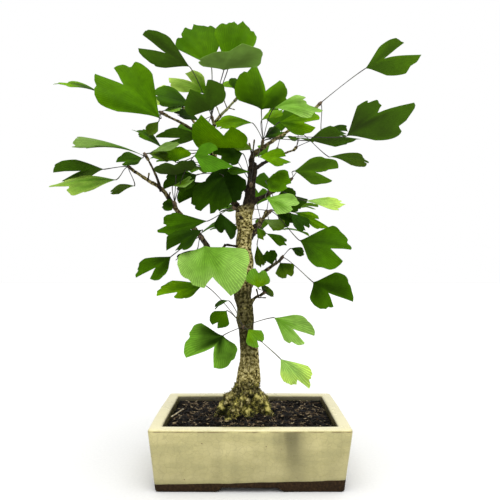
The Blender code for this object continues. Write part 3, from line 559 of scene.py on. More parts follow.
# Short spurs, each with a bunch of leaves on its tip, as (foot, tip).
SPURS = {
    "trunk_front": ((-6, -5, 153), (-7, -14, 156)),
    "small_right_twig": ((11, -9, 190), (15, -10, 193)),
    "low_right_tip": ((33, 12, 228), (36, 7, 232)),
    "low_left_front": ((-50, -31, 250), (-52, -38, 253)),
    "low_left_middle": ((-78, -36, 283), (-79, -41, 288)),
    "low_left_fork": ((-105.5, -49.5, 333), (-108, -51, 337)),
    "low_left_tip": ((-121, -41, 322), (-126, -43, 326)),
    "left_low": ((-34, 13, 324), (-40, 8, 328)),
    "left_middle": ((-41, 8, 350), (-47, 4, 353)),
    "left_twig_tip": ((-89, -31, 385), (-94, -34, 387)),
    "left_fork_tip": ((-75, 6, 402), (-78, 6, 407)),
    "left_high": ((-41, 2, 384), (-43, 0, 391)),
    "left_shoot_tip": ((-18, -6, 409), (-14, -7, 413)),
    "top_right": ((13, -6, 355), (14, -9, 361)),
    "right_shoot_middle": ((44, -13, 375), (48, -15, 375)),
    "right_shoot_tip": ((73, -14, 399), (77, -14, 403)),
    "mid_right_tip": ((42, 18, 320), (47, 19, 324)),
    "mid_right_inner": ((20, 11, 306), (22, 6, 310)),
    "right_twig_tip": ((17, -14, 278), (21, -17, 282)),
    "right_twig_foot": ((7, -8, 269), (10, -13, 268)),
    "leader_front": ((1, -2, 312), (1, -9, 314)),
    "trunk_shoulder": ((-11, -4, 284), (-17, -11, 287)),
    "low_back_middle": ((10, 50, 272), (12, 51, 279)),
    "low_back_tip": ((19, 79, 291), (21, 84, 294)),
    "left_back_middle": ((-34, 48, 333), (-36, 46, 340)),
    "left_back_tip": ((-57, 69, 351), (-60, 73, 354)),
    "right_back_middle": ((35, 45, 358), (34, 43, 364)),
    "right_back_tip": ((55, 63, 369), (58, 67, 373)),
}
SPUR_RADIUS = 1.9
BARK_VOXEL = 0.8
JOINT_SPACING = 11
GNARLED_BELOW = 98
TRUNK_TOP = 283
LEADER_BARE = 292


def sampled(knots, spacing):
    """Points with radii, evenly spaced on a smooth line through knots of (x, y, z, radius)."""
    rows = [Vector(k) for k in knots]
    rows = [rows[0] * 2 - rows[1]] + rows + [rows[-1] * 2 - rows[-2]]
    made = []
    for a, b, c, d in zip(rows, rows[1:], rows[2:], rows[3:]):
        count = max(1, round((c.xyz - b.xyz).length / spacing))
        for i in range(count):
            t = i / count
            at = b * 2 + (c - a) * t
            at += (a * 2 - b * 5 + c * 4 - d) * t**2
            at += (b * 3 - a - c * 3 + d) * t**3
            made.append(at / 2)
    made.append(rows[-2])
    return made


def tubes(name, lines, faces_round):
    """Closed round tubes along lines of (x, y, z, radius), as one mesh."""
    guide = bpy.data.curves.new(name, "CURVE")
    guide.dimensions = "3D"
    guide.bevel_depth = MM
    guide.bevel_resolution = (faces_round - 4) // 2
    guide.use_fill_caps = True
    for line in lines:
        spline = guide.splines.new("POLY")
        spline.points.add(len(line) - 1)
        for knot, (x, y, z, radius) in zip(spline.points, line):
            knot.co = (x * MM, y * MM, z * MM, 1)
            knot.radius = radius
    alone(placed(name, guide))
    bpy.ops.object.convert(target="MESH")
    thing = bpy.context.active_object
    in_edit(thing, "verts", lambda v: True)
    bpy.ops.mesh.remove_doubles(threshold=0.01 * MM)
    leave_edit()
    return thing


def bark_relief(place):
    """How far old bark stands out or in at a place, and how deep in a fissure it lies, from 0 to 1."""
    x, y, z = place
    pebbles = noise.noise(Vector((x / 1.9, y / 1.9, z / 2.6)))
    cracks = abs(noise.noise(Vector((x / 3.6, y / 3.6, z / 10 + 5))))
    fissure = max(0.0, 1 - cracks / 0.11)
    # The foot is gnarled: knuckles on the roots, with clefts between them, which are painted dark as shade.
    gnarled = held((GNARLED_BELOW - z) / 18)
    knuckles = noise.noise(place / 7) + 0.5 * noise.noise(place / 3.5)
    stand = 0.5 * pebbles - 0.6 * fissure + 3.4 * gnarled * knuckles
    return stand, min(1.0, 0.8 * fissure + 0.6 * max(0.0, -pebbles) + gnarled * max(0.0, -1.6 * knuckles))


old_names = [name for name in LIMBS if name in ("trunk", "leader") or name.startswith("root")]
branch_names = [name for name in LIMBS if name not in old_names]
old_lines = [sampled(LIMBS[name], 3) for name in old_names]
# A branch leaves the trunk through a collar that swells over its foot.
for name in branch_names:
    line = sampled(LIMBS[name], 2)
    collar = line[:7]
    for i, row in enumerate(collar):
        row = row.copy()
        row.w *= 1.75 - 1.05 * i / (len(collar) - 1)
        collar[i] = row
    if name not in ("left_twig", "left_fork", "low_left_upshoot"):
        old_lines.append(collar)
wood = tubes("trunk_and_roots", old_lines, 24)
push_out(wood, lambda place: 1.6 * noise.noise(place / 13))
modify(wood, "REMESH", mode="VOXEL", voxel_size=BARK_VOXEL * MM)
modify(wood, "SMOOTH", factor=0.5, iterations=3)
paint(wood, "hollow", lambda place: bark_relief(place)[1])
paint(wood, "age", lambda place: 0.5 + 0.5 * held((place.z - TRUNK_TOP) / 14))
push_out(wood, lambda place: bark_relief(place)[0] * (0.75 if place.z < LEADER_BARE else 0.4))
smooth(wood)

branch_lines = []
nearest = []
for name in branch_names:
    line = sampled(LIMBS[name], 1.6)
    foot_age, tip_age = BRANCH_AGES.get(name, COMMON_AGES)
    phase = random.Random(name).uniform(0, 9)
    walked = 0.0
    shaped = []
    for i, row in enumerate(line):
        walked += (row.xyz - line[i - 1].xyz).length if i else 0
        # Each joint is a ring where last year's bud sat.
        joint = math.exp(-((((walked + phase) % JOINT_SPACING) - JOINT_SPACING / 2) / 1.1) ** 2)
        wander = noise.noise_vector(row.xyz / 7) * 0.3
        shaped.append((row.x + wander.x, row.y + wander.y, row.z + wander.z, row.w * (0.96 + 0.2 * joint)))
        nearest.append((row.xyz, foot_age + (tip_age - foot_age) * i / (len(line) - 1)))
    shaped[-1] = (*shaped[-1][:3], shaped[-1][3] * 0.6)
    branch_lines.append(shaped)
for foot, tip in SPURS.values():
    # A spur grows a millimetre a year and keeps a ring for each.
    foot, tip = Vector(foot), Vector(tip)
    length = (tip - foot).length
    count = max(6, round(length / 0.55))
    spur = []
    for i in range(count + 1):
        at = foot + (tip - foot) * i / count
        spur.append((*at, SPUR_RADIUS * (0.98 if i % 2 else 0.8)))
    branch_lines.append(spur)
    nearest += [(foot, 0.95), (tip, 0.8)]
for foot, tip, radius in STUBS:
    foot, tip = Vector(foot), Vector(tip)
    bent = (foot + tip) / 2 + noise.noise_vector(tip / 5) * 0.8
    branch_lines.append([
        (*foot, radius * 1.2), (*foot.lerp(bent, 0.5), radius), (*bent, radius * 0.85),
        (*bent.lerp(tip, 0.6), radius * 1.15), (*bent.lerp(tip, 0.85), radius), (*tip, radius * 0.35),
    ])
    nearest += [(foot, 0.9), (tip, 0.75)]
branches = tubes("branches_and_spurs", branch_lines, 10)
look_up = kdtree.KDTree(len(nearest))
for i, (at, value) in enumerate(nearest):
    look_up.insert(at, i)
look_up.balance()
paint(branches, "hollow", lambda place: max(0.0, -noise.noise(place / 1.6)) * 0.8)
paint(branches, "age", lambda place: nearest[look_up.find(place)[1]][1])
push_out(branches, lambda place: 0.14 * noise.noise(place / 1.6))
smooth(branches)

# Ginkgo bark: on the trunk pale olive-brown, pebbled and flecked, with dark fissures and a film of moss
# at the foot; on branches dark grey-brown and smooth; on this year's shoots green-tan. Dull all over.
look = Finish("ginkgo_bark")
axes = look.axes(look.place)
grains = look.noise(2.7, 4, 0.62)
trunk_colour = look.ramp(grains, (0.39, "211B09"), (0.46, "6B6032"), (0.53, "A2965A"), (0.62, "D9CC92"))
zones = look.noise(24, 3)
shade_zone = look.spread(zones, 0.48, 0.66, 0, 0.6)
trunk_colour = look.over(trunk_colour, "4A4324", shade_zone)
# Painted shadow of the low leaves: the bark is darker over the middle of the trunk, and very slightly darker
# above it.
painted_foliage_shadow = look.ramp(
    look.spread(axes["Z"], 100 * MM, 300 * MM), (0.08, "000000"), (0.2, "EAEAEA"), (0.46, "E2E2E2"),
    (0.6, "303030"), (0.9, "404040")
)
trunk_colour = look.over(trunk_colour, "1A1D07", painted_foliage_shadow)
years = look.attribute("age")
old = look.spread(years, 0.5, 0.9)
dark_bark = look.ramp(grains, (0.35, "100D08"), (0.7, "3B3227"))
wood_colour = look.over(trunk_colour, dark_bark, old)
young = look.spread(years, 0.5, 0.2)
shoot_colour = look.ramp(grains, (0.35, "6A6E42"), (0.7, "A3A476"))
wood_colour = look.over(wood_colour, shoot_colour, young)
# Fissures and hollows are darkened: partly the bark's own darker colour in its fissures, partly painted
# shade in the clefts between the foot's knuckles and in the dents and low spots.
fissures = look.attribute("hollow")
sunk = look.spread(fissures, 0.25, 1, 0, 0.85)
wood_colour = look.over(wood_colour, "120F08", sunk)
patches = look.noise(11, 4, 0.6)
low_down = look.spread(axes["Z"], 104 * MM, 66 * MM, -0.18, 0.12)
mossy = look.spread(look.maths("ADD", patches, low_down), 0.5, 0.58, 0, 0.9)
tufting = look.between(grains, patches, 0.85)
moss_film = look.ramp(tufting, (0.43, "050602"), (0.48, "1A1C08"), (0.54, "5E5A24"), (0.6, "BDB268"))
# Painted shade: where the roots join the trunk, a dark ring runs round it.
ring = look.ramp(
    look.spread(axes["Z"], 78 * MM, 98 * MM), (0.1, "000000"), (0.45, "BBBBBB"), (0.65, "8A8A8A"),
    (0.95, "000000")
)
wood_colour = look.over(wood_colour, "15150A", ring)
# Below it, painted shade lies in almost black patches a thumb across.
painted_shade_pools = look.noise(17, 2, 0.4)
painted_shade_pools = look.spread(painted_shade_pools, 0.45, 0.52)
low_down = look.spread(axes["Z"], 92 * MM, 82 * MM, 0, 0.9)
painted_shade_pools = look.maths("MULTIPLY", painted_shade_pools, low_down)
wood_colour = look.over(wood_colour, "0E1006", painted_shade_pools)
wood_colour = look.over(wood_colour, moss_film, mossy)
look.set("Base Color", wood_colour)
look.set("Roughness", look.spread(grains, 0, 1, 0.7, 0.98))
look.bump(0.6, 0.5 * MM, grains)
look.set("Specular IOR Level", 0.05)
for piece in (wood, branches):
    piece.data.materials.append(look.material)
    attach(piece, "root")
    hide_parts("trunk_and_branches")


# Soil: dark loam with bark mould, filled to just below the rim and firmed up towards the trunk. Its
# surface is crumbly, strewn with crumbs of bark, a few pale grains of pumice and the wiry ends of dead
# roots.

SOIL_EDGE = 56.5
SOIL_MOUND = 7.0
MOUND_RADIUS = 46.0
SOIL_ROUGH = 1.3
SOIL_BOTTOM = 16.0
CRUMBS = 2400
PUMICE_SHARE = 0.035
FIBRES = 760
FIBRE_STEP = 2.3
NEAR_TRUNK_SHARE = 0.45


def soil_height(x, y):
    """Height of the soil's surface: sunk at the walls, mounded at the trunk, and uneven."""
    from_trunk = math.hypot(x + 3, y)
    mound = SOIL_MOUND * math.exp(-((from_trunk / MOUND_RADIUS) ** 2) * 2)
    return SOIL_EDGE + mound + SOIL_ROUGH * noise.noise(Vector((x / 16, y / 16, 0.3)))


def crumbly(x, y):
    """Height of the soil's surface with its clods and grit."""
    clods = noise.noise(Vector((x / 4.5, y / 4.5, 2)))
    grit = noise.noise(Vector((x / 1.7, y / 1.7, 5)))
    return soil_height(x, y) + 0.8 * clods + 0.45 * grit


top_width, top_depth = half_sizes(57, 13.4)
low_width, low_depth = half_sizes(SOIL_BOTTOM, 16.6)
bpy.ops.mesh.primitive_grid_add(x_subdivisions=190, y_subdivisions=136, size=2)
bpy.context.active_object.scale = (top_width * MM, top_depth * MM, 1)
soil = just_added("soil_surface")
for vertex in soil.data.vertices:
    vertex.co.z = crumbly(vertex.co.x / MM, vertex.co.y / MM) * MM
in_edit(soil, "verts", lambda v: v.is_boundary)
bpy.ops.mesh.extrude_edges_move(TRANSFORM_OT_translate={"value": (0, 0, 0)})
bpy.ops.transform.resize(value=(1, 1, 0), center_override=(0, 0, SOIL_BOTTOM * MM))
bpy.ops.transform.resize(value=(low_width / top_width, low_depth / top_depth, 1), center_override=(0, 0, 0))
bpy.ops.mesh.edge_face_add()
leave_edit()
smooth(soil)

look = Finish("damp_bark_loam")
# Damp humus: near black, with browner crumbs and no gloss but a faint wet glint.
crumbs = look.noise(3, 8, 0.75)
look.set(
    "Base Color", look.ramp(crumbs, (0.36, "020201"), (0.5, "060504"), (0.64, "0E0B08"), (0.85, "211A12"))
)
look.set("Roughness", look.spread(crumbs, 0, 1, 0.65, 1.0))
look.bump(0.9, 1.2 * MM, crumbs)
look.set("Specular IOR Level", 0.05)
soil.data.materials.append(look.material)
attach(soil, "root")
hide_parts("soil")

# Crumbs: chips of bark and mould, and a few grains of pumice, pressed into the surface.
draw = random.Random(11)
bpy.ops.mesh.primitive_ico_sphere_add(subdivisions=1, radius=1)
chip = bpy.context.active_object
corners = [vertex.co.copy() for vertex in chip.data.vertices]
rings = [tuple(face.vertices) for face in chip.data.polygons]
bpy.data.objects.remove(chip)
points = []
faces = []
tints = []
for i in range(CRUMBS):
    x = draw.uniform(-top_width + 1.5, top_width - 1.5)
    y = draw.uniform(-top_depth + 1.5, top_depth - 1.5)
    pale = draw.random() < PUMICE_SHARE
    size = draw.uniform(0.5, 0.9) if pale else draw.uniform(0.5, 1.9)
    flat = 0.8 if pale else draw.uniform(0.3, 0.7)
    long = 1.0 if pale else draw.uniform(0.8, 2.0)
    turn = Matrix.Rotation(draw.uniform(0, 6.3), 4, "Z") @ Matrix.Rotation(draw.uniform(-0.5, 0.5), 4, "X")
    shape = turn @ Matrix.Diagonal((long * size, 0.8 * size, flat * size, 1))
    middle = Vector((x, y, crumbly(x, y) + 0.25 * size * flat))
    faces += [[len(points) + corner for corner in ring] for ring in rings]
    for corner in corners:
        dent = noise.noise_vector(corner * 1.3 + middle) * 0.35
        points.append((middle + shape @ (corner + dent)) * MM)
    tints += [1.0 if pale else draw.uniform(0, 0.8)] * len(corners)
mesh = bpy.data.meshes.new("soil_crumbs")
mesh.from_pydata(points, [], faces)
mesh.attributes.new("tint", "FLOAT", "POINT").data.foreach_set("value", tints)
chips = placed("soil_crumbs", mesh)

look = Finish("bark_mould_and_pumice")
# Rotted bark is dark and fibrous; pumice is dusty and almost white. Neither has any gloss.
kinds = look.attribute("tint")
chip_colour = look.ramp(
    kinds, (0.0, "030302"), (0.6, "080604"), (0.76, "17110B"), (0.82, "463827"), (1.0, "B5AA8A")
)
speckle = look.noise(0.9, 3)
speckle = look.spread(speckle, 0, 1, 0.5, 1.4)
look.set("Base Color", look.times(chip_colour, speckle))
look.set("Roughness", look.spread(speckle, 0, 1.4, 0.95, 0.75))
look.bump(0.5, 0.3 * MM, speckle)
look.set("Specular IOR Level", 0.05)
chips.data.materials.append(look.material)
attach(chips, "root")

# Dead roots: wiry brown threads that lie over one another on the surface, closest together round the trunk.
draw = random.Random(23)
threads = []
for i in range(FIBRES):
    if draw.random() < NEAR_TRUNK_SHARE:
        around, out = draw.uniform(0, 2 * math.pi), draw.uniform(20, 62)
        x, y = -3 + out * math.cos(around) * 1.2, out * math.sin(around) * 0.85
        heading = around + draw.uniform(-0.9, 0.9)
    else:
        x, y = draw.uniform(-top_width + 4, top_width - 4), draw.uniform(-top_depth + 4, top_depth - 4)
        heading = draw.uniform(0, 2 * math.pi)
    thick = draw.choice((0.12, 0.15, 0.18, 0.22, 0.34)) * draw.uniform(0.8, 1.2)
    steps = draw.randint(5, 13)
    bend = draw.uniform(-0.3, 0.3)
    hump = draw.uniform(0.1, 2.6)
    thread = []
    for step in range(steps + 1):
        if abs(x) > top_width - 1.2 or abs(y) > top_depth - 1.2:
            break
        rise = math.sin(math.pi * step / steps) * hump + 0.25 + thick
        thread.append((x, y, crumbly(x, y) + rise, thick * (1 - 0.5 * step / steps)))
        heading += bend + draw.uniform(-0.28, 0.28)
        x += FIBRE_STEP * math.cos(heading)
        y += FIBRE_STEP * math.sin(heading)
    if len(thread) > 3:
        threads.append(thread)
dead_roots = tubes("dead_roots", threads, 4)
smooth(dead_roots)

look = Finish("dry_root_fibre")
# Dry root skin goes from umber to straw along the thread, with a silky, slightly split surface.
runs = look.noise(6)
look.set(
    "Base Color", look.ramp(runs, (0.42, "060402"), (0.52, "1A120A"), (0.59, "6A5335"), (0.68, "D2BE94"))
)
look.set("Roughness", look.spread(runs, 0, 1, 0.6, 0.9))
dead_roots.data.materials.append(look.material)
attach(dead_roots, "root")

# One stout bleached straw lies apart at the left.
line = [(x, y, crumbly(x, y) + 1.7, 0.75) for x, y in ((-86, -13), (-83, -3), (-80, 7), (-77, 17))]
straw = tubes("straw", [line], 6)
smooth(straw)
look = Finish("bleached_straw")
# Straw that has lain in the sun is pale and silky, with greyer joints.
joints = look.noise(3)
look.set("Base Color", look.ramp(joints, (0.35, "8A7A58"), (0.6, "D8CCAC")))
look.set("Roughness", look.spread(joints, 0, 1, 0.5, 0.7))
straw.data.materials.append(look.material)
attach(straw, "root")


# Moss: soft tufts that have crept over the roots and the foot of the trunk, in patches, thinning out
# upwards. They are made of pointed leaflets one to three millimetres long.

MOSS_LEAFLETS = 3600

moss_draw = random.Random(5)
foot_faces = [f for f in wood.data.polygons if 52 * MM < f.center.z < 108 * MM]
builder = bmesh.new()
tint = builder.verts.layers.float.new("tint")
grown = 0
while grown < MOSS_LEAFLETS:
    face = moss_draw.choice(foot_faces)
    at = face.center / MM
    if at.z < soil_height(at.x, at.y) - 1:
        continue
    patch = noise.noise(at / 11 + Vector((4, 1, 0))) + 0.3 * noise.noise(at / 3)
    if patch < 0.06 + (at.z - 62) / 110 or bark_relief(at)[1] > 0.5:
        continue
    grown += 1
    normal = (face.normal + noise.noise_vector(at * 3) * 0.9).normalized()
    side = normal.orthogonal().normalized()
    side.rotate(Matrix.Rotation(moss_draw.uniform(0, 6.3), 3, normal))
    length = moss_draw.uniform(1.2, 2.8)
    width = moss_draw.uniform(0.28, 0.5)
    other = normal.cross(side)
    base = [
        at - side * width,
        at + side * width * 0.6 + other * width,
        at + side * width * 0.6 - other * width,
    ]
    corners = [builder.verts.new(p - normal * 0.2) for p in base] + [builder.verts.new(at + normal * length)]
    shade = moss_draw.uniform(0, 1)
    for vertex in corners:
        vertex[tint] = shade
    for ring in ((0, 1, 3), (1, 2, 3), (2, 0, 3), (2, 1, 0)):
        builder.faces.new([corners[i] for i in ring])
bmesh.ops.recalc_face_normals(builder, faces=builder.faces)
builder.transform(Matrix.Scale(MM, 4))
mesh = bpy.data.meshes.new("moss_tufts")
builder.to_mesh(mesh)
builder.free()
moss = placed("moss_tufts", mesh)

look = Finish("cushion_moss")
# Moss leaflets are matt, near black in some clumps and yellow-green in others.
kinds = look.attribute("tint")
clumps = look.noise(8)
mixed = look.between(kinds, clumps, 0.75)
look.set(
    "Base Color", look.ramp(mixed, (0.36, "0F1103"), (0.47, "36380F"), (0.57, "8A8436"), (0.68, "C4B85C"))
)
look.set("Roughness", look.spread(clumps, 0, 1, 0.75, 1.0))
moss.data.materials.append(look.material)
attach(moss, "root")


# Leaves: fan blades, thin and leathery, often cleft in two, with forking veins that fan out from the stalk.
# They sit in bunches, each on the brown bud at a spur's tip, on long wiry stalks.

# Leaf places are read off the front view: x and z as they look in the plane of the trunk to an eye this
# far in front of it and this high, and y as the depth judged for them.
SIGHT_DISTANCE = 581.0
SIGHT_HEIGHT = 222.0
LEAST_SPREAD = math.radians(22)
MOST_SPREAD = math.radians(84)
GAP = 0.35
BUD_RADIUS = 2.1
BUD_LENGTH = 4.0
BLADE_THICK = 0.34
LOBE_COLUMNS = 17
NOTCH_COLUMNS = 4
BLADE_ROWS = (0, 0.05, 0.12, 0.21, 0.32, 0.44, 0.57, 0.7, 0.82, 0.92, 0.975, 1)
# True veins lie half a millimetre apart; they are drawn wider apart at the margin, so that they show.
VEIN_SPACING = 2.6

# Greens of the blades, by name. The darker ones are partly painted shade, for leaves that lie in shade.
LEAF_GREENS_AND_SHADES = {
    "lemon": "A9C656", "pale": "8BB252", "mint": "699A2A", "sage": "6C8A3E", "bright": "6C9A02",
    "fresh": "568402", "mid": "426C03", "deep": "2D4C03", "dark": "1E3803", "olive": "4F6C10",
    "jade": "4C7E12", "teal": "2E500C",
}
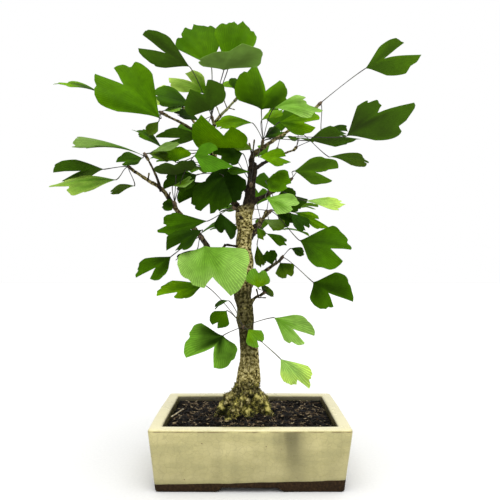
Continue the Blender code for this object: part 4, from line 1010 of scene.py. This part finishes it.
# Leaves of each spur: where the blade starts, the far end of its left lobe and of its right lobe as its
# upper face is looked at, how deep the cleft between them runs as a share of the length, and its greens
# by the stalk and at the margin, which carry painted shade as well as the leaf's own green.
LEAVES = {
    "trunk_front": [
        ((-30, -32, 145), (-20, -46, 110), (-74, -42, 138), 0.6, "dark", "mint"),
        ((34, -46, 119), (69, -58, 93), (45, -60, 88), 0.25, "pale", "lemon"),
        ((27, -28, 165), (72, -36, 155), (56, -42, 135), 0.45, "mint", "pale"),
        ((-2, -24, 152), (16, -32, 141), (4, -32, 131), 0.25, "bright", "mint"),
        ((-26, -18, 173), (-32, -26, 153), (-46, -24, 162), 0.25, "fresh", "mid"),
        ((-24, -22, 184), (-38, -30, 175), (-38, -16, 179), 0.15, "mid", "deep"),
        ((-52, -34, 202), (-80, -50, 184), (-104, -40, 194), 0.3, "mid", "bright"),
    ],
    "small_right_twig": [
        ((12, -14, 206), (27, -24, 191), (22, -8, 189), 0.1, "deep", "olive"),
        ((9, -24, 198), (0, -28, 218), (20, -24, 215), 0.2, "bright", "mint"),
    ],
    "low_right_tip": [
        ((25, -2, 224), (16, -6, 238), (27, -6, 241), 0.1, "deep", "deep"),
        ((34, 0, 227), (50, -8, 216), (36, -8, 209), 0.15, "deep", "olive"),
        ((46, 9, 243), (61, 6, 240), (59, -2, 234), 0.1, "dark", "deep"),
        ((71, -8, 205), (116, -14, 196), (85, -22, 173), 0.5, "deep", "mid"),
    ],
    "low_left_front": [
        ((-52, -54, 246), (-7, -70, 203), (-72, -76, 204), 0.3, "mint", "pale"),
        ((-54, -56, 264), (-80, -70, 239), (-97, -64, 249), 0.35, "dark", "deep"),
        ((-89, -34, 234), (-106, -44, 206), (-128, -40, 216), 0.45, "deep", "mid"),
        ((-60, -40, 241), (-82, -50, 231), (-81, -34, 234), 0.1, "dark", "dark"),
    ],
    "low_left_middle": [
        ((-87, -46, 292), (-97, -52, 286), (-97, -44, 296), 0.1, "dark", "deep"),
        ((-84, -44, 326), (-70, -64, 340), (-107, -66, 336), 0.35, "dark", "deep"),
        ((-88, -47, 314), (-66, -54, 319), (-68, -44, 325), 0.2, "bright", "pale"),
        ((-64, -52, 348), (-40, -50, 360), (-27, -66, 334), 0.55, "jade", "jade"),
    ],
    "low_left_fork": [
        ((-120, -62, 348), (-193, -113, 358), (-200, -80, 364), 0.05, "mid", "sage"),
        ((-122, -48, 346), (-141, -60, 336), (-150, -46, 346), 0.25, "deep", "mid"),
        ((-116, -44, 351), (-95, -36, 351), (-95, -52, 342), 0.1, "olive", "olive"),
        ((-112, -50, 352), (-84, -42, 364), (-82, -58, 358), 0.15, "sage", "sage"),
    ],
    "low_left_tip": [
        ((-166, -58, 333), (-222, -70, 334), (-206, -50, 317), 0.5, "deep", "mid"),
        ((-152, -72, 321), (-204, -94, 304), (-219, -66, 316), 0.2, "mint", "lemon"),
        ((-131, -52, 314), (-155, -60, 303), (-157, -48, 309), 0.1, "olive", "olive"),
    ],
    "left_low": [
        ((-30, -22, 325), (-36, -38, 284), (-66, -32, 294), 0.2, "dark", "deep"),
        ((-22, -8, 318), (-12, -16, 297), (-32, -16, 293), 0.25, "dark", "dark"),
        ((-60, -4, 338), (-76, -10, 331), (-74, 4, 340), 0.1, "deep", "deep"),
        ((-34, -4, 340), (-12, -14, 302), (-44, -16, 300), 0.15, "dark", "dark"),
        ((-50, 4, 318), (-62, -2, 292), (-84, 2, 304), 0.3, "dark", "mid"),
        ((-60, -12, 327), (-77, -26, 307), (-98, -18, 318), 0.3, "dark", "deep"),
    ],
    "left_middle": [
        ((-85, -34, 341), (-99, -24, 354), (-72, -22, 356), 0.2, "fresh", "bright"),
        ((-100, -30, 357), (-130, -42, 372), (-129, -26, 379), 0.1, "deep", "fresh"),
        ((-66, 4, 351), (-92, 0, 343), (-90, 14, 353), 0.15, "mid", "mid"),
    ],
    "left_twig_tip": [
        ((-102, -50, 391), (-182, -60, 428), (-144, -46, 456), 0.36, "mid", "fresh"),
        ((-172, -52, 421), (-216, -72, 428), (-220, -50, 433), 0.2, "deep", "bright"),
        ((-104, -40, 388), (-112, -46, 371), (-119, -38, 377), 0.1, "olive", "olive"),
        ((-99, -24, 400), (-79, -16, 406), (-79, -28, 400), 0.1, "bright", "pale"),
    ],
    "left_fork_tip": [
        ((-66, -18, 405), (-108, -26, 411), (-108, -8, 427), 0.3, "deep", "mid"),
        ((-84, 16, 412), (-112, 30, 410), (-108, 38, 426), 0.3, "fresh", "lemon"),
    ],
    "left_high": [
        ((-44, -20, 450), (-80, -14, 488), (-48, -6, 501), 0.12, "fresh", "mid"),
        ((-26, -34, 446), (-29, -28, 502), (2, -24, 496), 0.12, "mid", "fresh"),
        ((-30, -40, 447), (10, -72, 468), (-53, -70, 463), 0.2, "sage", "pale"),
        ((-44, -28, 400), (-26, -38, 430), (-76, -44, 407), 0.45, "deep", "mid"),
        ((-69, -48, 451), (-119, -62, 492), (-124, -44, 463), 0.5, "deep", "mid"),
        ((-48, 6, 419), (-94, 10, 434), (-68, 16, 445), 0.5, "fresh", "lemon"),
        ((-53, -19, 371), (-101, -40, 372), (-98, -12, 358), 0.5, "mid", "mid"),
        ((-57, -4, 388), (-82, -11, 393), (-83, 0, 401), 0.2, "deep", "dark"),
    ],
    "left_shoot_tip": [
        ((-13, -6, 419), (-16, 4, 437), (3, 4, 419), 0.3, "deep", "mid"),
        ((-12, 14, 424), (-30, 36, 432), (0, 40, 436), 0.35, "fresh", "bright"),
    ],
    "top_right": [
        ((13, -22, 401), (-8, -16, 443), (41, -20, 425), 0.5, "deep", "fresh"),
        ((110, -38, 371), (182, -28, 389), (146, -52, 410), 0.35, "dark", "mid"),
        ((66, -20, 366), (120, -8, 364), (100, -30, 379), 0.3, "deep", "mid"),
        ((10, -26, 347), (40, -30, 353), (43, -40, 339), 0.35, "bright", "fresh"),
        ((33, -26, 387), (77, -32, 394), (68, -38, 373), 0.35, "mid", "bright"),
        ((13, -4, 389), (35, 4, 402), (38, -10, 396), 0.1, "bright", "bright"),
        ((3, -14, 386), (-31, -24, 377), (-38, -12, 387), 0.1, "fresh", "bright"),
        ((16, 10, 369), (32, 18, 380), (43, 8, 372), 0.2, "dark", "mid"),
        ((27, -42, 403), (64, -44, 412), (78, -58, 397), 0.1, "mint", "pale"),
    ],
    "right_shoot_middle": [
        ((90, 6, 347), (128, 18, 335), (134, -4, 343), 0.15, "mid", "olive"),
        ((52, 14, 388), (58, 40, 408), (76, 34, 396), 0.35, "mid", "fresh"),
    ],
    "right_shoot_tip": [
        ((132, 4, 449), (190, 22, 455), (174, -6, 482), 0.6, "mid", "fresh"),
        ((82, 14, 374), (104, 36, 371), (112, 14, 380), 0.3, "mid", "mid"),
    ],
    "mid_right_tip": [
        ((50, -30, 331), (88, -24, 318), (96, -44, 343), 0.5, "mid", "fresh"),
        ((56, 30, 333), (88, 50, 330), (92, 28, 338), 0.4, "mid", "fresh"),
    ],
    "mid_right_inner": [
        ((18, -22, 320), (46, -26, 325), (37, -36, 307), 0.15, "deep", "fresh"),
        ((28, -4, 299), (50, -6, 310), (62, -14, 292), 0.2, "dark", "deep"),
        ((18, -40, 300), (56, -56, 297), (44, -64, 283), 0.12, "mint", "pale"),
        ((63, -46, 297), (102, -44, 297), (104, -58, 288), 0.1, "pale", "lemon"),
    ],
    "right_twig_tip": [
        ((56, -46, 252), (112, -52, 250), (94, -64, 218), 0.35, "deep", "mid"),
        ((46, -24, 283), (68, -32, 269), (58, -36, 262), 0.2, "teal", "teal"),
        ((50, 8, 284), (78, 4, 279), (84, -4, 266), 0.3, "mid", "bright"),
        ((30, 2, 284), (50, -6, 276), (42, 0, 267), 0.1, "dark", "deep"),
    ],
    "right_twig_foot": [
        ((16, -24, 275), (40, -30, 270), (36, -38, 262), 0.1, "sage", "olive"),
        ((18, -12, 260), (42, -14, 252), (38, -22, 246), 0.1, "mid", "mid"),
        ((8, -20, 266), (18, -24, 258), (13, -26, 253), 0.1, "mid", "olive"),
        ((8, 2, 247), (17, 2, 225), (9, 8, 223), 0.1, "olive", "olive"),
    ],
    "leader_front": [
        ((-23, -26, 357), (-69, -44, 380), (-3, -48, 375), 0.5, "bright", "fresh"),
        ((-8, -24, 351), (-28, -36, 339), (-42, -28, 357), 0.2, "dark", "deep"),
        ((3, -18, 355), (-20, -24, 357), (-18, -14, 366), 0.1, "olive", "olive"),
        ((0, -18, 330), (-22, -24, 327), (-24, -14, 333), 0.1, "mid", "mid"),
    ],
    "trunk_shoulder": [
        ((-48, -42, 274), (-100, -57, 258), (-98, -50, 276), 0.12, "deep", "mid"),
        ((-34, -14, 284), (-18, -24, 256), (-36, -24, 261), 0.25, "teal", "dark"),
    ],
    "low_back_middle": [
        ((-18, 56, 270), (-44, 58, 262), (-50, 84, 268), 0.4, "deep", "mid"),
        ((34, 52, 264), (62, 74, 260), (66, 48, 258), 0.45, "mid", "fresh"),
        ((8, 58, 292), (0, 76, 314), (20, 80, 308), 0.4, "mid", "mid"),
    ],
    "low_back_tip": [
        ((21, 96, 276), (10, 116, 266), (34, 114, 264), 0.5, "mid", "fresh"),
        ((-4, 92, 288), (-32, 88, 284), (-28, 108, 290), 0.4, "deep", "mid"),
        ((44, 90, 290), (70, 108, 288), (76, 84, 292), 0.45, "fresh", "bright"),
        ((22, 88, 308), (10, 104, 326), (34, 104, 326), 0.35, "mid", "mid"),
    ],
    "left_back_middle": [
        ((-62, 44, 326), (-94, 40, 322), (-92, 64, 328), 0.45, "mid", "mid"),
        ((-30, 56, 350), (-46, 76, 366), (-16, 78, 364), 0.4, "mid", "fresh"),
    ],
    "left_back_tip": [
        ((-80, 76, 342), (-106, 72, 340), (-108, 96, 348), 0.5, "mid", "mid"),
        ((-58, 90, 336), (-72, 113, 332), (-46, 112, 328), 0.45, "deep", "fresh"),
        ((-58, 78, 364), (-82, 92, 380), (-56, 100, 386), 0.35, "mid", "mid"),
    ],
    "right_back_middle": [
        ((36, 42, 376), (24, 54, 402), (50, 50, 404), 0.4, "mid", "mid"),
        ((20, 64, 350), (4, 84, 350), (14, 94, 362), 0.45, "mid", "fresh"),
    ],
    "right_back_tip": [
        ((76, 70, 368), (102, 90, 367), (108, 66, 373), 0.45, "mid", "mid"),
        ((56, 90, 368), (46, 113, 367), (70, 112, 364), 0.5, "mid", "fresh"),
        ((56, 72, 382), (46, 88, 402), (70, 86, 404), 0.35, "fresh", "bright"),
    ],
}


def true_place(seen):
    """A place read off the front view, at its depth: the further back it lies, the larger it is in truth."""
    x, y, z = seen
    growth = (SIGHT_DISTANCE + y) / SIGHT_DISTANCE
    return Vector((x * growth, y, SIGHT_HEIGHT + (z - SIGHT_HEIGHT) * growth))


class Leaf:
    """One fan leaf: where its blade starts, how it lies, and the small draws that make it its own."""

    def __init__(self, number, base, left_end, right_end, cleft):
        draw = random.Random(number)
        self.base = true_place(base)
        left = true_place(left_end) - self.base
        right = true_place(right_end) - self.base
        self.lobe_lengths = (left.length, right.length)
        self.length = (left.length + right.length) / 2
        self.along = (left.normalized() + right.normalized()).normalized()
        self.up = right.cross(left).normalized()
        self.across = self.along.cross(self.up)
        # Each lobe's middle lies halfway from the leaf's middle to its side.
        self.half_spread = min(MOST_SPREAD, max(LEAST_SPREAD, 1.1 * left.angle(right)))
        self.cleft = cleft
        self.cleft_side = draw.uniform(-0.08, 0.08)
        self.cleft_width = 0.1 + 0.24 * cleft
        # Each lobe reaches furthest beside the cleft. A deeply cleft blade falls away more towards its
        # sides.
        self.side_fall = 0.15 + 0.45 * cleft
        self.fold = draw.uniform(0.0, 0.16)
        self.arch = draw.uniform(0.1, 0.36)
        self.wave = draw.uniform(0.03, 0.055)
        self.wave_count = draw.choice((4, 5))
        self.wave_start = draw.uniform(0, 2 * math.pi)
        self.scallop_start = draw.uniform(0, 2 * math.pi)
        self.seed = draw.uniform(0, 90)
        # Lesser clefts in each lobe, as (place across, width, depth).
        self.nicks = [
            (side * draw.uniform(0.36, 0.8), draw.uniform(0.05, 0.11), 0.008 + 0.085 * draw.random() ** 2)
            for side in (-1, 1, 1, -1)
        ]

    def edge_radius(self, u):
        """Distance from base to outer edge in direction u, from -1 to 1 across the fan."""
        notch = 1 - self.cleft * max(0, 1 - abs(u - self.cleft_side) / self.cleft_width) ** 0.7
        aside = max(0, abs(u - self.cleft_side) - self.cleft_width) / (1 - self.cleft_width)
        shoulder = 1 + self.side_fall * (0.2 - aside**1.3) - 0.12 * aside**6
        scallop = 1 + 0.025 * math.sin(9 * u + self.scallop_start)
        scallop += 0.03 * noise.noise(Vector((u * 7, self.seed, 0)))
        scallop -= 0.01 * abs(math.sin(u * 13 * self.half_spread + self.seed))
        for middle, width, depth in self.nicks:
            scallop -= depth * min(1, self.length / 45) * max(0, 1 - abs(u - middle) / width)
        rightness = held((u - self.cleft_side) / (2 * self.cleft_width) + 0.5)
        lobe = self.lobe_lengths[0] * (1 - rightness) + self.lobe_lengths[1] * rightness
        return lobe * notch * shoulder * scallop

    def point(self, u, v):
        """The blade's middle surface at u across the fan and v from base to outer edge."""
        radius = v * self.edge_radius(u)
        share = radius / self.length
        angle = self.half_spread * u * (1 - 0.4 * math.exp(-share / 0.16))
        ahead = radius * math.cos(angle)
        aside = radius * math.sin(angle)
        lift = self.fold * abs(aside) * share
        lift += self.arch * self.length * share * (1 - share)
        lift += self.wave * self.length * share**2 * math.sin(self.wave_count * u + self.wave_start)
        lift += 0.011 * self.length * share**2 * math.sin(13 * u + self.seed)
        return self.base + self.along * ahead + self.across * aside + self.up * lift

    def columns(self):
        """Directions across the fan at which the blade is built: even on each lobe, closer in the cleft."""
        left_end = self.cleft_side - self.cleft_width
        right_start = self.cleft_side + self.cleft_width
        left = [-1 + (left_end + 1) * i / LOBE_COLUMNS for i in range(LOBE_COLUMNS)]
        count = 2 * NOTCH_COLUMNS
        notch = [left_end + (right_start - left_end) * i / count for i in range(count + 1)]
        right = [right_start + (1 - right_start) * i / LOBE_COLUMNS for i in range(1, LOBE_COLUMNS + 1)]
        return left + notch + right

    def stalk_line(self, bud, spur_direction, steps):
        """Middle of the stalk: it leaves the bud leaning the spur's way and ends leaning the blade's."""
        span = (self.base - bud).length
        straight = (self.base - bud).normalized()
        leaving = (straight * 2 + spur_direction).normalized() * span * 0.7
        arriving = (straight * 2 + self.along).normalized() * span * 0.7
        made = []
        for i in range(steps + 1):
            t = i / steps
            at = bud * (2 * t**3 - 3 * t**2 + 1) + leaving * (t**3 - 2 * t**2 + t)
            at += self.base * (3 * t**2 - 2 * t**3) + arriving * (t**3 - t**2)
            made.append((*at, 0.56 - 0.16 * math.sin(math.pi * min(1, t * 1.15))))
        # The stalk runs on a little way under the blade as its veins spread out of it.
        made.append((*self.point(0, 0.06), 0.3))
        return made

    def blade(self, inner, margin):
        """The blade as one sheet, with vein places as UV and its green and painted shade as a colour."""
        columns = self.columns()
        bpy.ops.mesh.primitive_grid_add(
            x_subdivisions=len(columns) - 1, y_subdivisions=len(BLADE_ROWS) - 1, size=2
        )
        sheet = bpy.context.active_object
        builder = bmesh.new()
        builder.from_mesh(sheet.data)
        pattern = builder.loops.layers.uv.verify()
        greens = builder.verts.layers.float_color.new("green_and_painted_shade")
        inner = Vector(hex_colour(LEAF_GREENS_AND_SHADES[inner])[:3])
        margin = Vector(hex_colour(LEAF_GREENS_AND_SHADES[margin])[:3])
        veins = self.half_spread * self.length / VEIN_SPACING
        for vertex in builder.verts:
            column = round((vertex.co.x + 1) / 2 * (len(columns) - 1))
            row = round((vertex.co.y + 1) / 2 * (len(BLADE_ROWS) - 1))
            u, v = columns[column], BLADE_ROWS[row]
            for loop in vertex.link_loops:
                loop[pattern].uv = (u * veins + 200, v)
            # Painted shading: the green runs from the stalk's green to the margin's, with random patches.
            patch = noise.noise(Vector((u * 1.6, v * 1.6, self.seed)))
            outward = held(v**2 + 0.7 * patch)
            vertex[greens] = (*(inner.lerp(margin, outward) * (1 + 0.25 * patch)), 1)
            vertex.co = self.point(u, v) * MM
        bmesh.ops.remove_doubles(builder, verts=builder.verts, dist=0.02 * MM)
        builder.to_mesh(sheet.data)
        builder.free()
        return sheet


# Leaf blades: waxy above, so satin, with fine veins, paler and slightly raised; matt, greyer and paler
# beneath. Light that falls on one side glows through the other.
blade_finishes = []
for name, wax, greyness, vein_strength in (
    ("ginkgo_blade_upper", 0.5, 0.0, 1.15), ("ginkgo_blade_under", 0.8, 0.2, 0.6)
):
    look = Finish(name)
    # This attribute holds each blade's green together with its painted shade.
    green = look.attribute("green_and_painted_shade", "Color")
    clouds = look.noise(7, 4, 0.6)
    cloud_light = look.spread(clouds, 0.3, 0.7, 0.84, 1.14)
    green = look.times(green, cloud_light)
    fan = look.axes(look.node("UVMap", {"uv_map": "UVMap"}).outputs[0])
    stray = look.noise(6)
    across = look.maths("MULTIPLY_ADD", stray, 1.1, fan["X"])
    # Every vein forks twice on its way out, so three sets, each twice as close, take over from one another.
    ribs = []
    for spread in (0.25, 0.5, 1.0):
        phase = look.maths("MULTIPLY", across, spread)
        swing = look.maths("PINGPONG", phase, 0.5)
        ribs.append(look.spread(swing, 0.3, 0.5, smooth=True))
    halfway = look.spread(fan["Y"], 0.22, 0.32)
    outer = look.spread(fan["Y"], 0.5, 0.62)
    veins = look.between(ribs[0], ribs[1], halfway)
    veins = look.between(veins, ribs[2], outer)
    # Veins show as lighter lines, most on the palest blades.
    paleness = look.node("SeparateColor", inputs={0: green}).outputs["Green"]
    paleness = look.spread(paleness, 0.1, 0.5, 0.2 * vein_strength, 0.62 * vein_strength)
    vein_light = look.maths("MULTIPLY_ADD", veins, paleness, 0.9)
    green = look.times(green, vein_light)
    green = look.over(green, "66793A", greyness)
    look.set("Base Color", green)
    look.set("Roughness", look.spread(clouds, 0, 1, wax - 0.06, wax + 0.08))
    look.bump(0.5, 0.25 * MM, veins)
    look.set("Specular IOR Level", 0.02)
    through = look.node("BsdfTranslucent", inputs={"Color": green}).outputs[0]
    lit = look.node("MixShader", inputs={0: 0.3, 1: look.shader.outputs[0], 2: through}).outputs[0]
    look.feed(look.tree.nodes["Material Output"].inputs["Surface"], lit)
    blade_finishes.append(look.material)

stalk_finish = look = Finish("ginkgo_leaf_stalk")
# Stalks are smooth and wiry, dark purple-brown with greener lengths, and only faintly glossy.
look.set("Specular IOR Level", 0.2)
runs = look.noise(25)
look.set("Base Color", look.ramp(runs, (0.38, "1C1713"), (0.52, "2C291D"), (0.66, "4B5030")))
look.set("Roughness", look.spread(runs, 0, 1, 0.4, 0.6))

bud_finish = look = Finish("ginkgo_bud_scales")
# Bud scales are chestnut, papery and slightly split at their edges.
scales = look.noise(1.2, 4)
look.set("Base Color", look.ramp(scales, (0.35, "2A2015"), (0.7, "7C6444")))
look.set("Roughness", look.spread(scales, 0, 1, 0.5, 0.85))
look.bump(0.6, 0.3 * MM, scales)

number = 0
for spur, rows in LEAVES.items():
    foot, tip = (Vector(p) for p in SPURS[spur])
    direction = (tip - foot).normalized()
    start = tip + direction * GAP
    end = start + direction * BUD_LENGTH
    blades = []
    stalks = []
    for *shape, inner, margin in rows:
        leaf = Leaf(number, *shape)
        number += 1
        blades.append(leaf.blade(inner, margin))
        stalks.append(leaf.stalk_line((start + end) / 2, direction, 14))
    bunch = joined("bunch_" + spur, blades)
    for finish in blade_finishes:
        bunch.data.materials.append(finish)
    modify(bunch, "SOLIDIFY", thickness=BLADE_THICK * MM, offset=0, material_offset=1)
    wires = tubes("stalks", stalks, 8)
    wires.data.materials.append(stalk_finish.material)
    # The bud: overlapping scales in rings round a blunt cone.
    bud_line = []
    for i in range(9):
        share = i / 8
        ring = (1.06, 0.86)[i % 2] if share < 0.9 else 0.9
        at = (start - direction * 0.3).lerp(end, share)
        bud_line.append((*at, BUD_RADIUS * ring * (1 - 0.45 * share**2)))
    bud = tubes("bud", [bud_line], 10)
    bud.data.materials.append(bud_finish.material)
    bunch = joined("bunch_" + spur, [bunch, wires, bud])
    for vertex in bunch.data.vertices:
        for axis in range(3):
            vertex.co[axis] = min(cad_high[axis], max(cad_low[axis], vertex.co[axis]))
    smooth(bunch, 60)
    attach(bunch, "root")
    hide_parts("leaves_" + spur)


# Studio: a plain pale floor, one broad soft light overhead and a little to the front, white walls all
# round, and the camera where the photographer stood, 22 cm above the table and looking very slightly up.

bpy.ops.mesh.primitive_plane_add(size=12)
floor = just_added("floor")
look = Finish("white_paper")
tooth = look.noise(3)
look.set("Base Color", look.ramp(tooth, (0.3, "C2C2C1"), (0.7, "C6C6C5")))
look.set("Roughness", 0.9)
floor.data.materials.append(look.material)

world = bpy.data.worlds.new("studio")
bpy.context.scene.world = world
world.use_nodes = True
backdrop = world.node_tree.nodes["Background"]
backdrop.inputs["Color"].default_value = (1, 1, 1, 1)
backdrop.inputs["Strength"].default_value = 1.0

bpy.ops.object.light_add(type="SUN", location=(0.3, -0.6, 1.6))
softbox = bpy.context.active_object
softbox.name = "overhead_softbox"
softbox.data.energy = 3.6
softbox.data.angle = math.radians(65)
softbox.rotation_euler = Vector((-0.05, 0.32, -1)).to_track_quat("-Z", "Y").to_euler()

bpy.ops.object.camera_add(
    location=(0, -SIGHT_DISTANCE * MM, SIGHT_HEIGHT * MM), rotation=(math.radians(91.89), 0, 0)
)
camera = bpy.context.active_object
camera.data.lens = 37
camera.data.sensor_width = 36
camera.data.clip_start = 0.01
bpy.context.scene.camera = camera
bpy.context.scene.view_settings.view_transform = "Standard"
